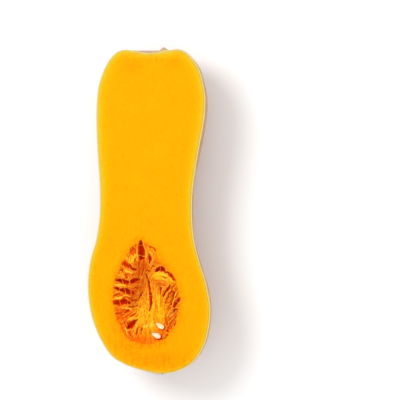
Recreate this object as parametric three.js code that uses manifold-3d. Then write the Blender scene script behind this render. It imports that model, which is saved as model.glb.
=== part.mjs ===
// A butternut squash halved lengthways, lying on its skin with the cut face up and level.
//
// Units are millimetres and +Z is up. The fruit is drawn in axes of its own: x runs across the cut
// face, y from the blossom end (y = 0) to the stem end, and z = 0 is the cut face, with the flesh
// below it. The last lines lift the group, so that it rests on z = 0 with its box centred on the
// origin.

import * as THREE from "three";
import { mergeVertices } from "three/addons/utils/BufferGeometryUtils.js";
import Module from "manifold-3d";

// ---------------------------------------------------------------------------- driving dimensions

// The cut outline, from the blossom end to the stem end: distance along the fruit, left edge and
// right edge. The last stations fall into the dimple that the stalk was broken out of.
const OUTLINE = [
  { y: 0.0, left: 8.6, right: 8.6 },
  { y: 1.8, left: -2.7, right: 20.4 },
  { y: 7.2, left: -19.8, right: 31.3 },
  { y: 13.4, left: -29.8, right: 37.3 },
  { y: 22.6, left: -36.6, right: 42.4 },
  { y: 35.0, left: -42.7, right: 45.8 },
  { y: 50.5, left: -47.1, right: 47.1 },
  { y: 69.0, left: -48.7, right: 44.1 },
  { y: 87.6, left: -46.7, right: 38.4 },
  { y: 103.0, left: -42.3, right: 34.5 },
  { y: 121.6, left: -39.6, right: 32.9 },
  { y: 143.2, left: -39.3, right: 33.6 },
  { y: 168.0, left: -40.9, right: 37.3 },
  { y: 192.7, left: -42.0, right: 41.8 },
  { y: 211.3, left: -41.6, right: 43.4 },
  { y: 223.6, left: -40.0, right: 41.7 },
  { y: 236.0, left: -35.6, right: 38.0 },
  { y: 243.7, left: -30.9, right: 32.5 },
  { y: 248.8, left: -25.5, right: 26.7 },
  { y: 250.4, left: -18.8, right: 20.4 },
  { y: 249.0, left: -11.6, right: 12.4 },
  { y: 247.8, left: 0.0, right: 0.0 },
];

// The knife ran a little in front of the fruit's axis, and further in front at the neck. A lean is
// the depth of the axis below the cut face over half the width there.
const BULB_LEAN = 0.065;
const NECK_LEAN = 0.169;
const LEAN_FROM_Y = 125;
const LEAN_TO_Y = 195;

// Cut face to table. The skin is pressed flat where the bulb and the neck touch the table.
const CUT_HEIGHT = 49.2;

// Six shallow ribs on the half round the stem end, which fade out along the neck.
const RIB_COUNT = 6;
const RIB_DEPTH = 1.5;
const RIB_FROM_Y = 165;
const RIB_FULL_Y = 242;

// The corky collar left round the broken stalk, with one torn nub on its right side.
const COLLAR_RADIUS = 11.5;
const COLLAR_HALF_WIDTH = 2.2;
const COLLAR_HEIGHT = 0.9;
const NUB = { x: 9.6, z: -4.5, radius: 3.2, height: 2.6 };

// The seed cavity: its edge in the cut face, as stations like the outline's, and its depth.
const CAVITY_EDGE = [
  { y: 21.5, left: -3.0, right: -3.0 },
  { y: 26.0, left: -18.0, right: 12.5 },
  { y: 33.5, left: -23.6, right: 18.8 },
  { y: 44.0, left: -28.3, right: 22.2 },
  { y: 57.0, left: -30.0, right: 24.6 },
  { y: 68.0, left: -29.2, right: 22.8 },
  { y: 79.5, left: -26.0, right: 17.6 },
  { y: 88.0, left: -21.4, right: 9.6 },
  { y: 97.5, left: -16.2, right: 4.2 },
  { y: 103.0, left: -10.4, right: -3.4 },
  { y: 104.6, left: -7.0, right: -7.0 },
];
const CAVITY_DEPTH_SHARE = 0.82;
const CAVITY_SQUARENESS = 2.6;

// The pulp that fills the cavity.
const PULP_GAP = 0.45;
const PULP_LEVEL = -0.9;
const PULP_GRID = 1.6;

// The hollows in the pulp that seeds have come out of. turn is in degrees from +X.
const POCKETS = [
  { x: -7.1, y: 96.0, length: 16.5, width: 6.2, turn: 90, depth: 11 },
  { x: -14.6, y: 94.5, length: 9.0, width: 5.4, turn: 84, depth: 6 },
  { x: -1.2, y: 88.5, length: 8.0, width: 4.0, turn: 96, depth: 5 },
  { x: -19.0, y: 83.4, length: 13.0, width: 5.0, turn: -29, depth: 8 },
  { x: -18.6, y: 71.2, length: 21.0, width: 4.6, turn: -5, depth: 10 },
  { x: -20.2, y: 63.2, length: 17.5, width: 4.8, turn: -8, depth: 10 },
  { x: -19.8, y: 54.8, length: 19.0, width: 6.2, turn: 3, depth: 11 },
  { x: -15.4, y: 38.2, length: 9.6, width: 6.0, turn: 52, depth: 8 },
  { x: 7.6, y: 80.6, length: 9.0, width: 5.0, turn: 14, depth: 8 },
  { x: 15.4, y: 75.0, length: 10.5, width: 3.6, turn: -42, depth: 6 },
  { x: 13.4, y: 64.2, length: 11.0, width: 3.6, turn: 55, depth: 7 },
  { x: 20.4, y: 54.0, length: 10.0, width: 4.4, turn: 54, depth: 8 },
  { x: 19.0, y: 48.6, length: 4.5, width: 4.0, turn: 0, depth: 9 },
];

// The slit down the middle of the pulp, from its upper end to its lower one.
const SLIT = [
  { x: -2.1, y: 77.0 },
  { x: -0.4, y: 68.3 },
  { x: 1.3, y: 58.6 },
  { x: 0.5, y: 51.5 },
  { x: -0.3, y: 46.0 },
];
const SLIT_HALF_WIDTH = 2.0;
const SLIT_DEPTH = 6.5;

// The strands of the pulp, which run from its middle to the cavity wall between the pockets and
// across them: both ends, the thickness at the root, and how far the middle sags.
const STRANDS = [
  { from: [-9.0, 76.5], to: [-27.0, 76.0], thick: 2.6, sag: 0.6 },
  { from: [-9.5, 67.6], to: [-29.0, 67.0], thick: 2.4, sag: 0.8 },
  { from: [-9.0, 60.5], to: [-29.4, 58.8], thick: 2.2, sag: 0.9 },
  { from: [-9.0, 50.5], to: [-28.0, 49.0], thick: 2.8, sag: 0.7 },
  { from: [-8.0, 46.0], to: [-25.5, 43.2], thick: 2.6, sag: 0.5 },
  { from: [-7.5, 42.0], to: [-22.5, 33.0], thick: 2.2, sag: 0.4 },
  { from: [-6.5, 36.5], to: [-15.5, 27.5], thick: 2.0, sag: 0.3 },
  { from: [-16.2, 75.5], to: [-15.6, 66.8], thick: 1.6, sag: 0.2 },
  { from: [-21.8, 60.0], to: [-20.2, 50.0], thick: 1.3, sag: 1.4 },
  { from: [-9.0, 84.0], to: [-24.0, 90.0], thick: 2.8, sag: 0.3 },
  { from: [-10.8, 88.0], to: [-11.4, 101.0], thick: 2.2, sag: 0.3 },
  { from: [-3.4, 86.0], to: [-3.4, 101.0], thick: 2.2, sag: 0.3 },
  { from: [3.0, 84.0], to: [6.6, 92.0], thick: 2.0, sag: 0.3 },
  { from: [2.5, 74.5], to: [21.0, 70.6], thick: 3.2, sag: 0.3 },
  { from: [2.5, 77.5], to: [12.5, 84.5], thick: 1.8, sag: 0.5 },
  { from: [8.0, 56.0], to: [20.5, 68.5], thick: 2.0, sag: 0.5 },
  { from: [9.5, 51.5], to: [21.5, 62.5], thick: 1.6, sag: 0.6 },
  { from: [10.5, 46.5], to: [23.6, 59.5], thick: 1.5, sag: 0.7 },
  { from: [11.0, 40.5], to: [22.8, 50.0], thick: 2.0, sag: 0.5 },
  { from: [11.5, 34.5], to: [20.5, 42.5], thick: 1.8, sag: 0.4 },
];
const STRAND_SIDES = 6;
const STRAND_STEPS = 7;
const STRAND_TOP = -0.5;

// The seeds. place is the middle of a seed, heading the way that its point looks (degrees from
// +X), roll turns it on its long axis and dip lowers its point. bare is the depth of the hollow in
// the pulp that lays the seed open.
const SEED_LENGTH = 11.4;
const SEED_WIDTH = 6.0;
const SEED_THICKNESS = 2.6;
const SEED_GAP = 0.4;
const SEED_HOLLOW = 1.2;
const SEEDS = [
  { name: "seed_1", place: [7.9, 37.0, -2.3], heading: 146, roll: 14, dip: 8, bare: 2.2 },
  { name: "seed_2", place: [4.6, 30.0, -2.6], heading: 156, roll: 12, dip: 6, bare: 2.4 },
  { name: "seed_3", place: [17.0, 45.4, -4.4], heading: 44, roll: 68, dip: 0, bare: 3.6 },
  { name: "seed_4", place: [1.2, 93.4, -2.6], heading: -42, roll: 10, dip: 0, bare: 1.4 },
  { name: "seed_5", place: [15.4, 57.6, -4.8], heading: 58, roll: 62, dip: 0, bare: 4.6 },
  { name: "seed_6", place: [-15.6, 89.8, -2.6], heading: 62, roll: -12, dip: 0, bare: 1.4 },
];

// Mesh steps: rows for each stretch between two stations, and columns round a section.
const BODY_ROWS_EACH = 3;
const BODY_COLUMNS = 34;
const CAVITY_ROWS_EACH = 3;
const CAVITY_COLUMNS = 36;
const SEED_RINGS = 10;
const SEED_SEGMENTS = 10;

// --------------------------------------------------------------------------------------- helpers

const wasm = await Module();
wasm.setup();

const { clamp, degToRad, lerp, smoothstep } = THREE.MathUtils;

// A closed smooth curve up the left edge of a list of stations and down the right edge. Its first
// half and its second half have the same steps, so that two points face each other.
class EdgePair {
  constructor(stations) {
    const last = stations.length - 1;
    const left = stations.map((s) => new THREE.Vector3(s.left, s.y, 0));
    const right = stations.slice(1, last).map((s) => new THREE.Vector3(s.right, s.y, 0));
    this.curve = new THREE.CatmullRomCurve3([...left, ...right.reverse()], true, "centripetal");
    this.stretches = last;
  }

  // Both edge points at share 0 (first station) to 1 (last station).
  at(share) {
    return {
      left: this.curve.getPoint(share / 2),
      right: this.curve.getPoint(1 - share / 2),
    };
  }
}

// A surface from rows of points that run between two poles. Round rows close on themselves. Open
// ones begin on the right edge of the plane z = 0 and end on its left edge, and a flat cap there
// closes the surface.
function closedSurface(firstPole, rows, lastPole, round) {
  const columns = rows[0].length;
  const points = [firstPole, ...rows.flat(), lastPole];
  const lastIndex = points.length - 1;
  const index = [];
  const at = (row, column) => 1 + row * columns + (column % columns);
  for (let c = 0; c < (round ? columns : columns - 1); c++) {
    index.push(0, at(0, c + 1), at(0, c));
    index.push(lastIndex, at(rows.length - 1, c), at(rows.length - 1, c + 1));
    for (let r = 0; r + 1 < rows.length; r++) {
      index.push(at(r, c), at(r + 1, c + 1), at(r + 1, c));
      index.push(at(r, c), at(r, c + 1), at(r + 1, c + 1));
    }
  }
  if (!round) {
    const rightEdge = rows.map((row, r) => at(r, 0));
    const leftEdge = rows.map((row, r) => at(r, columns - 1));
    const rim = [0, ...rightEdge, lastIndex, ...leftEdge.reverse()];
    const outline = rim.map((i) => new THREE.Vector2(points[i].x, points[i].y));
    for (const face of THREE.ShapeUtils.triangulateShape(outline, [])) {
      index.push(...face.map((i) => rim[i]));
    }
  }
  return new THREE.BufferGeometry().setFromPoints(points).setIndex(index);
}

// A closed three.js geometry as a manifold solid, and back.
function solidOf(geometry, matrix = new THREE.Matrix4()) {
  const bare = geometry.clone().applyMatrix4(matrix);
  bare.deleteAttribute("normal");
  bare.deleteAttribute("uv");
  const merged = mergeVertices(bare, 1e-4);
  return new wasm.Manifold(
    new wasm.Mesh({
      numProp: 3,
      vertProperties: merged.attributes.position.array,
      triVerts: new Uint32Array(merged.index.array),
    }),
  );
}

function geometryOf(solid) {
  const mesh = solid.getMesh();
  return new THREE.BufferGeometry()
    .setAttribute("position", new THREE.BufferAttribute(mesh.vertProperties, 3))
    .setIndex(new THREE.BufferAttribute(mesh.triVerts, 1));
}

// The largest body of a solid: scraps that a cut leaves loose are dropped.
function largestBody(solid) {
  const bodies = solid.decompose();
  return bodies.reduce((best, body) => (body.volume() > best.volume() ? body : best));
}

// A smooth step down from 1 at the middle of a hollow to 0 at its rim.
const hollowProfile = (reach) => 1 - smoothstep(reach, 0.5, 1);

// ------------------------------------------------------------------------------------ squash half

// How far a point of the skin at angle share 0..1 round the half lies in from a round section.
function ribFurrow(share, y) {
  const strength = RIB_DEPTH * smoothstep(y, RIB_FROM_Y, RIB_FULL_Y);
  return (strength * (1 - Math.cos(2 * Math.PI * RIB_COUNT * share))) / 2;
}

// How far the corky collar and its nub raise the bottom of the stem dimple towards the stem end.
function collarRise(x, z) {
  const fromRidge = (Math.hypot(x, z) - COLLAR_RADIUS) / COLLAR_HALF_WIDTH;
  const fromNub = Math.hypot(x - NUB.x, z - NUB.z) / NUB.radius;
  const ridge = COLLAR_HEIGHT * Math.exp(-fromRidge * fromRidge);
  return ridge + NUB.height * Math.exp(-fromNub * fromNub);
}

// One section of the skin below the cut face: the arc of a circle through both edge points.
function skinSection({ left, right }) {
  const middle = left.clone().add(right).multiplyScalar(0.5);
  const half = right.clone().sub(left).multiplyScalar(0.5);
  const halfWidth = half.length();
  const across = half.normalize();
  const lean = lerp(BULB_LEAN, NECK_LEAN, smoothstep(middle.y, LEAN_FROM_Y, LEAN_TO_Y));
  const overlap = Math.atan(lean);
  const axisDepth = halfWidth * lean;
  const radius = Math.hypot(halfWidth, axisDepth);
  const section = [];
  for (let i = 0; i <= BODY_COLUMNS; i++) {
    const share = i / BODY_COLUMNS;
    const angle = overlap - share * (Math.PI + 2 * overlap);
    const reach = radius - (ribFurrow(share, middle.y) * halfWidth) / 42;
    const onEdge = i === 0 || i === BODY_COLUMNS;
    const point = middle.clone().addScaledVector(across, reach * Math.cos(angle));
    point.z = onEdge ? 0 : Math.max(reach * Math.sin(angle) - axisDepth, -CUT_HEIGHT);
    if (middle.y > RIB_FULL_Y) point.y += collarRise(point.x, point.z);
    section.push(point);
  }
  return section;
}

// The half without its cavity.
function halfWithoutCavity() {
  const edges = new EdgePair(OUTLINE);
  const steps = edges.stretches * BODY_ROWS_EACH;
  const rows = [];
  for (let i = 1; i < steps; i++) rows.push(skinSection(edges.at(i / steps)));
  return solidOf(closedSurface(edges.at(0).left, rows, edges.at(1).left, false));
}

// The seed cavity's shape, on both sides of the cut face, as a closed surface.
function cavityShape() {
  const edges = new EdgePair(CAVITY_EDGE);
  const steps = edges.stretches * CAVITY_ROWS_EACH;
  const rows = [];
  for (let i = 1; i < steps; i++) {
    const { left, right } = edges.at(i / steps);
    const middle = left.clone().add(right).multiplyScalar(0.5);
    const half = right.clone().sub(left).multiplyScalar(0.5);
    const depth = half.length() * CAVITY_DEPTH_SHARE;
    const section = [];
    for (let c = 0; c < CAVITY_COLUMNS; c++) {
      const angle = (-2 * Math.PI * c) / CAVITY_COLUMNS;
      const squared = (v) => Math.sign(v) * Math.abs(v) ** (2 / CAVITY_SQUARENESS);
      const point = middle.clone().addScaledVector(half, squared(Math.cos(angle)));
      const onCutFace = c % (CAVITY_COLUMNS / 2) === 0;
      point.z = onCutFace ? 0 : depth * squared(Math.sin(angle));
      section.push(point);
    }
    rows.push(section);
  }
  return closedSurface(edges.at(0).left, rows, edges.at(1).left, true);
}

// ------------------------------------------------------------------------------------------- pulp

// The hollow that lays one seed open.
function seedHollow({ place, heading, roll, bare }) {
  const width = Math.max(SEED_WIDTH * Math.cos(degToRad(roll)), SEED_THICKNESS);
  return {
    x: place[0],
    y: place[1],
    length: SEED_LENGTH * SEED_HOLLOW,
    width: width * SEED_HOLLOW,
    turn: heading,
    depth: bare,
  };
}

// How deep one oval hollow is at a point.
function hollowDepth(hollow, x, y) {
  const turn = degToRad(hollow.turn);
  const along = (x - hollow.x) * Math.cos(turn) + (y - hollow.y) * Math.sin(turn);
  const aside = (y - hollow.y) * Math.cos(turn) - (x - hollow.x) * Math.sin(turn);
  const reach = Math.hypot(along / (hollow.length / 2), aside / (hollow.width / 2));
  return hollow.depth * hollowProfile(reach);
}

// The top of the pulp at a point: its level, less the deepest hollow there.
function pulpTop(x, y) {
  const depths = [...POCKETS, ...SEEDS.map(seedHollow)].map((h) => hollowDepth(h, x, y));
  return PULP_LEVEL - Math.max(...depths, slitDepth(x, y));
}

function slitDepth(x, y) {
  const line = new THREE.SplineCurve(SLIT.map((p) => new THREE.Vector2(p.x, p.y)));
  const length = SLIT[0].y - SLIT[SLIT.length - 1].y;
  const share = (SLIT[0].y - y) / length;
  if (share < 0 || share > 1) return 0;
  const taper = Math.sin(Math.PI * share) ** 0.6;
  const aside = Math.abs(x - line.getPoint(share).x) / (SLIT_HALF_WIDTH * Math.max(taper, 0.1));
  return SLIT_DEPTH * taper * hollowProfile(aside);
}

// A block whose top is the pulp's relief, on a square grid that reaches past the cavity's edge.
function pulpBlock() {
  const xs = CAVITY_EDGE.flatMap((s) => [s.left, s.right]);
  const ys = CAVITY_EDGE.map((s) => s.y);
  const low = new THREE.Vector2(Math.min(...xs) - PULP_GRID, Math.min(...ys) - PULP_GRID);
  const high = new THREE.Vector2(Math.max(...xs) + PULP_GRID, Math.max(...ys) + PULP_GRID);
  const columns = Math.ceil((high.x - low.x) / PULP_GRID);
  const rows = Math.ceil((high.y - low.y) / PULP_GRID);
  const bottom = -CUT_HEIGHT;
  const block = new THREE.BoxGeometry(
    columns * PULP_GRID, rows * PULP_GRID, 1, columns, rows, 1,
  );
  const position = block.attributes.position;
  for (let i = 0; i < position.count; i++) {
    const x = position.getX(i) + (low.x + high.x) / 2;
    const y = position.getY(i) + (low.y + high.y) / 2;
    position.setXYZ(i, x, y, position.getZ(i) > 0 ? pulpTop(x, y) : bottom);
  }
  return solidOf(block);
}

// One strand: a tapered tube whose middle sags, with both ends sunk into the pulp.
function strand({ from, to, thick, sag }) {
  const start = new THREE.Vector3(...from, STRAND_TOP - thick);
  const end = new THREE.Vector3(...to, STRAND_TOP - thick);
  const middle = start.clone().lerp(end, 0.5);
  middle.z = STRAND_TOP - thick / 2 - sag;
  const spine = new THREE.QuadraticBezierCurve3(start, middle, end);
  const along = end.clone().sub(start).normalize();
  const aside = new THREE.Vector3(-along.y, along.x, 0);
  const rows = [];
  for (let i = 1; i < STRAND_STEPS; i++) {
    const share = i / STRAND_STEPS;
    const centre = spine.getPoint(share);
    const radius = (thick / 2) * lerp(1.15, 0.75, share);
    const ring = [];
    for (let k = 0; k < STRAND_SIDES; k++) {
      const angle = (2 * Math.PI * k) / STRAND_SIDES;
      const point = centre.clone().addScaledVector(aside, radius * Math.cos(angle));
      point.z += radius * Math.sin(angle);
      point.z = Math.min(point.z, STRAND_TOP);
      ring.push(point);
    }
    rows.push(ring);
  }
  return solidOf(closedSurface(start, rows, end, true));
}

// -------------------------------------------------------------------------------------- one seed

// A flat seed with a round end and a pointed one, which looks along +X, grown by a clearance.
function seedShape(grow = 0) {
  const rows = [];
  const length = SEED_LENGTH + 2 * grow;
  for (let i = 1; i < SEED_RINGS; i++) {
    const angle = (Math.PI * i) / SEED_RINGS;
    const x = (-length / 2) * Math.cos(angle);
    const fullness = Math.sin(angle) * (1 - 0.28 * (x / (length / 2)));
    const ring = [];
    for (let k = 0; k < SEED_SEGMENTS; k++) {
      const turn = (2 * Math.PI * k) / SEED_SEGMENTS;
      const y = (SEED_WIDTH / 2 + grow) * fullness * Math.cos(turn);
      const z = (SEED_THICKNESS / 2 + grow) * Math.sqrt(Math.sin(angle)) * Math.sin(turn);
      ring.push(new THREE.Vector3(x, y, z));
    }
    rows.push(ring);
  }
  const blunt = new THREE.Vector3(-length / 2, 0, 0);
  const point = new THREE.Vector3(length / 2, 0, 0);
  return closedSurface(blunt, rows, point, true);
}

function seedRotation({ heading, roll, dip }) {
  return new THREE.Euler(degToRad(roll), degToRad(dip), degToRad(heading), "ZYX");
}

function seedMatrix(seed) {
  return new THREE.Matrix4().compose(
    new THREE.Vector3(...seed.place),
    new THREE.Quaternion().setFromEuler(seedRotation(seed)),
    new THREE.Vector3(1, 1, 1),
  );
}

// ---------------------------------------------------------------------------------- the materials

const material = (color, roughness) =>
  new THREE.MeshStandardMaterial({ color, roughness, metalness: 0 });
const FLESH = material(0xffb003, 0.5);
const PULP = material(0xe2600c, 0.4);
const SEED = material(0xfff0d6, 0.45);

function named(name, geometry, finish) {
  const mesh = new THREE.Mesh(geometry, finish);
  mesh.name = name;
  return mesh;
}

// ---------------------------------------------------------------------------------- the squash half

function buildSquashHalf() {
  return named("squash_half", geometryOf(halfWithoutCavity().subtract(solidOf(cavityShape()))), FLESH);
}

function buildPulp() {
  const cavity = cavityShape();
  cavity.computeBoundingBox();
  const size = cavity.boundingBox.getSize(new THREE.Vector3());
  const centre = cavity.boundingBox.getCenter(new THREE.Vector3());
  const inset = size.clone().subScalar(2 * PULP_GAP).divide(size);
  const shrink = new THREE.Matrix4()
    .makeTranslation(centre)
    .multiply(new THREE.Matrix4().makeScale(...inset))
    .multiply(new THREE.Matrix4().makeTranslation(centre.clone().negate()));
  let pulp = pulpBlock();
  for (const s of STRANDS) pulp = pulp.add(strand(s));
  pulp = pulp.intersect(solidOf(cavity, shrink));
  for (const seed of SEEDS) pulp = pulp.subtract(solidOf(seedShape(SEED_GAP), seedMatrix(seed)));
  return named("seed_pulp", geometryOf(largestBody(pulp)), PULP);
}

function buildSeed(seed) {
  const mesh = named(seed.name, seedShape(), SEED);
  mesh.position.set(...seed.place);
  mesh.rotation.copy(seedRotation(seed));
  return mesh;
}

const squash = new THREE.Group();
squash.add(buildSquashHalf(), buildPulp(), ...SEEDS.map(buildSeed));

// The origin is the middle of the bounding box's bottom face.
const box = new THREE.Box3().setFromObject(squash, true);
squash.position.set(-(box.min.x + box.max.x) / 2, -(box.min.y + box.max.y) / 2, -box.min.z);

export default squash;
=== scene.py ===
"""The looks of a butternut squash half that lies on its skin with the cut face up.

Shapes are worked out in the fruit's own axes, in millimetres: x across the cut face, y from the
blossom end to the stem end, and z = 0 at the cut face with the flesh below it. Placing moves them
into the frame, which is in metres and rests on z = 0.
"""

from __future__ import annotations

import logging
import math
from collections.abc import Callable
from dataclasses import dataclass
from enum import Enum

import bmesh
import bpy
import numpy as np
from mathutils import Matrix, Vector
from mathutils.geometry import delaunay_2d_cdt


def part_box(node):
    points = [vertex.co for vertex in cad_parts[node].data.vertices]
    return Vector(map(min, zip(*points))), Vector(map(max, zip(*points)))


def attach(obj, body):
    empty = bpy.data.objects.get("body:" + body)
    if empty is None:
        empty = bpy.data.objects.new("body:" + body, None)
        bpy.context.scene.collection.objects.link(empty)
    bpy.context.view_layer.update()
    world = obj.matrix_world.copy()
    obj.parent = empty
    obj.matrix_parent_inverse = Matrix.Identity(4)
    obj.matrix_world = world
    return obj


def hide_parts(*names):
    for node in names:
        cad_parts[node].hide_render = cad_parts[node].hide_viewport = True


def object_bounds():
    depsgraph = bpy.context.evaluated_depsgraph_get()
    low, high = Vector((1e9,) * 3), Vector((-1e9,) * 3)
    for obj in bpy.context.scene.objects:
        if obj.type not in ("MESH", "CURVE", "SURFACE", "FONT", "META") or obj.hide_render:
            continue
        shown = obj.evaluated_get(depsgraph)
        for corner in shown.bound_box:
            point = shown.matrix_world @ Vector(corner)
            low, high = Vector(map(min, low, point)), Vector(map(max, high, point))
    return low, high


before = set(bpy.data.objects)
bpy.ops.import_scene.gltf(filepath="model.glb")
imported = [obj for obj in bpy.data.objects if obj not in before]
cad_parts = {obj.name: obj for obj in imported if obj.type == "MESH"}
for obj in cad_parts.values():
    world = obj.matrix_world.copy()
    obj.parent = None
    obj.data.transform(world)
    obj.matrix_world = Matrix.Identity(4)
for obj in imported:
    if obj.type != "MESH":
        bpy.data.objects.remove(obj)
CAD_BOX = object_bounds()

LOG = logging.getLogger("squash")
MM = 0.001
Rows = np.ndarray
Color = tuple[float, ...]
Piece = bpy.types.Object
Material = bpy.types.Material
Socket = bpy.types.NodeSocket
Source = Socket | float | Color
WELD = 2e-6  # metres: vertices closer than this become one
FINE_LINE = 0.4  # mm between the points of an outline that others are measured from
ROUGH_LINE = 0.8
WHOLE_EDGE = np.linspace(0.0, 1.0, 4001)
LIGHT = 1.35  # how bright the scene's light is on the cut face


class Slot(Enum):
    """The record's material slots."""

    FLESH = "flesh"
    SKIN = "skin"
    PULP = "pulp"
    SEED = "seed"


class Coat(Enum):
    """What lies over a seed."""

    BARE = "nothing"
    STRAW = "pulp, but for a wet yellow edge"
    VEILED = "a thin skin of pulp"


class Sum(Enum):
    """What a Math node does with its two numbers."""

    ADD = "ADD"
    SUBTRACT = "SUBTRACT"
    MULTIPLY = "MULTIPLY"
    DIVIDE = "DIVIDE"
    MAXIMUM = "MAXIMUM"


def each(kind: type, *rows: tuple) -> tuple:
    """One object of a kind for each row of its values."""
    return tuple(kind(*row) for row in rows)


# ---- numbers and noise


def smoothstep(value: Rows, low: float, high: float) -> Rows:
    """Ease from 0 at low to 1 at high."""
    share = np.clip((value - low) / (high - low), 0.0, 1.0)
    return share * share * (3.0 - 2.0 * share)


def linear(red: int, green: int, blue: int, light: float) -> Color:
    """A display colour as a linear albedo.

    Args:
        red: The display colour's red, 0 to 255.
        green: Its green.
        blue: Its blue.
        light: How bright the light is where the colour is to show; the albedo is divided by it.

    Returns:
        The linear colour with alpha 1.
    """
    values = []
    for channel in (red, green, blue):
        share = channel / 255
        value = share / 12.92 if share <= 0.04045 else ((share + 0.055) / 1.055) ** 2.4
        values.append(min(value / light, 0.97))
    return (*values, 1.0)


def ripe(red: int, green: int, blue: int, light: float) -> Color:
    """The same for flesh and pulp, which send back nearly all of the red light."""
    values = linear(red, green, blue, light)
    return (min(1.25 * values[0], 0.97), *values[1:])


class Lattice:
    """Smooth noise from a shuffled table, the same on every run."""

    def __init__(self, seed: int) -> None:
        """Shuffle the table.

        Args:
            seed: Each seed gives its own noise.
        """
        draw = np.random.default_rng(seed)
        self.order = draw.permutation(256)
        self.value = draw.uniform(-1.0, 1.0, 256)

    def at(self, x: Rows, y: Rows, z: Rows | float = 0.0) -> Rows:
        """Noise from -1 to 1 with a wavelength of about two units.

        Args:
            x: First coordinate.
            y: Second coordinate.
            z: Third coordinate.

        Returns:
            The noise, in the shape of x, y and z together.
        """
        spot = np.stack(np.broadcast_arrays(x, y, z)).astype(float)
        cell = np.floor(spot).astype(int)
        part = spot - cell
        ease = part**3 * (part * (part * 6 - 15) + 10)
        total = np.zeros(spot.shape[1:])
        for corner in np.ndindex(2, 2, 2):
            key = np.zeros(spot.shape[1:], int)
            weight = np.ones(spot.shape[1:])
            for axis, side in enumerate(corner):
                key = self.order[(key + cell[axis] + side) & 255]
                weight = weight * (ease[axis] if side else 1 - ease[axis])
            total += weight * self.value[key]
        return total

    def layered(self, x: Rows, y: Rows, z: Rows | float = 0.0, layers: int = 4) -> Rows:
        """Noise of several wavelengths, each half as long and half as strong as the one before.

        Args:
            x: First coordinate.
            y: Second coordinate.
            z: Third coordinate.
            layers: How many wavelengths.

        Returns:
            The noise, about -1 to 1.
        """
        total = np.zeros(np.broadcast(x, y, z).shape)
        for layer in range(layers):
            scale = 2.0**layer
            total += self.at(x * scale + 17 * layer, y * scale, z * scale) / scale
        return total / 1.6


# ---- edges and place


@dataclass(frozen=True)
class Station:
    """Where an outline's left and right edges are at one distance along the fruit, in mm."""

    y: float
    left: float
    right: float


class EdgePair:
    """A closed smooth curve, up the left edge of a list of stations and down the right edge."""

    def __init__(self, stations: tuple[Station, ...]) -> None:
        """Gather the curve's knots.

        Args:
            stations: From one pole to the other; the poles have the same left and right edge.
        """
        left = [(s.left, s.y) for s in stations]
        right = [(s.right, s.y) for s in stations[1:-1]]
        self.knots = np.array(left + right[::-1])

    def point(self, turn: Rows) -> Rows:
        """Points of a centripetal Catmull-Rom curve at turns 0 to 1 round it.

        Args:
            turn: Where they are, as shares of the way round.

        Returns:
            Rows of x and y.
        """
        count = len(self.knots)
        place = np.asarray(turn, float) * count
        first = np.floor(place).astype(int)
        w = (place - first)[..., None]
        p0, p1, p2, p3 = (self.knots[(first + step) % count] for step in (-1, 0, 1, 2))
        d0, d1, d2 = (
            np.sqrt(np.linalg.norm(b - a, axis=-1, keepdims=True))
            for a, b in ((p0, p1), (p1, p2), (p2, p3))
        )
        m1 = d1 * ((p1 - p0) / d0 - (p2 - p0) / (d0 + d1) + (p2 - p1) / d1)
        m2 = d1 * ((p2 - p1) / d1 - (p3 - p1) / (d1 + d2) + (p3 - p2) / d2)
        square = -3 * p1 + 3 * p2 - 2 * m1 - m2
        cube = 2 * p1 - 2 * p2 + m1 + m2
        return p1 + w * (m1 + w * (square + w * cube))

    def sides(self, shares: Rows, inset: float = 0.0) -> tuple[Rows, Rows]:
        """Left and right edge points.

        Args:
            shares: 0 at the first pole to 1 at the last one.
            inset: How far inside the outline the points lie, in mm.

        Returns:
            Both edges, as rows of x and y.
        """
        step = 1e-4
        edges = []
        for turn in (shares / 2, 1 - shares / 2):
            along = self.point(turn + step) - self.point(turn - step)
            along /= np.linalg.norm(along, axis=-1, keepdims=True)
            normal = np.stack([along[..., 1], -along[..., 0]], -1)
            edges.append(self.point(turn) + inset * normal)
        return edges[0], edges[1]

    def even_shares(self, spacing: float) -> Rows:
        """Shares between the poles, not counting them, a spacing in mm apart along the edges.

        Args:
            spacing: How far apart, in mm.

        Returns:
            The shares.
        """
        left, right = self.sides(WHOLE_EDGE)
        steps = sum(np.linalg.norm(np.diff(side, axis=0), axis=-1) for side in (left, right)) / 2
        length = np.concatenate([[0.0], np.cumsum(steps)])
        count = int(length[-1] / spacing)
        return np.interp(np.linspace(0.0, length[-1], count + 1)[1:-1], length, WHOLE_EDGE)

    def outline(self, spacing: float) -> Rows:
        """The whole closed outline, anticlockwise, as rows of x and y a spacing in mm apart."""
        left, right = self.sides(np.concatenate([[0.0], self.even_shares(spacing), [1.0]]))
        return np.concatenate([right, left[-2:0:-1]])


def inside(outline: Rows, x: Rows, y: Rows) -> Rows:
    """Which of the points lie inside a closed outline.

    Args:
        outline: The outline's points.
        x: Across the fruit.
        y: Along the fruit.

    Returns:
        True for those that do.
    """
    hit = np.zeros(np.shape(x), bool)
    for (ax, ay), (bx, by) in zip(outline, np.roll(outline, -1, axis=0)):
        if ay == by:
            continue
        crosses = (ay > y) != (by > y)
        hit ^= crosses & (x < ax + (y - ay) * (bx - ax) / (by - ay))
    return hit


def distance_to(outline: Rows, x: Rows, y: Rows) -> Rows:
    """Distance from each point to the nearest point of a finely stepped outline, in mm.

    Args:
        outline: The outline's points.
        x: Across the fruit.
        y: Along the fruit.

    Returns:
        The distances.
    """
    spots = np.stack([np.ravel(x), np.ravel(y)], -1)
    nearest = np.empty(len(spots))
    batch = 4000
    for start in range(0, len(spots), batch):
        part = spots[start : start + batch]
        gaps = part[:, None, :] - outline[None, :, :]
        nearest[start : start + batch] = np.sqrt((gaps**2).sum(-1).min(1))
    return nearest.reshape(np.shape(x))


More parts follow.
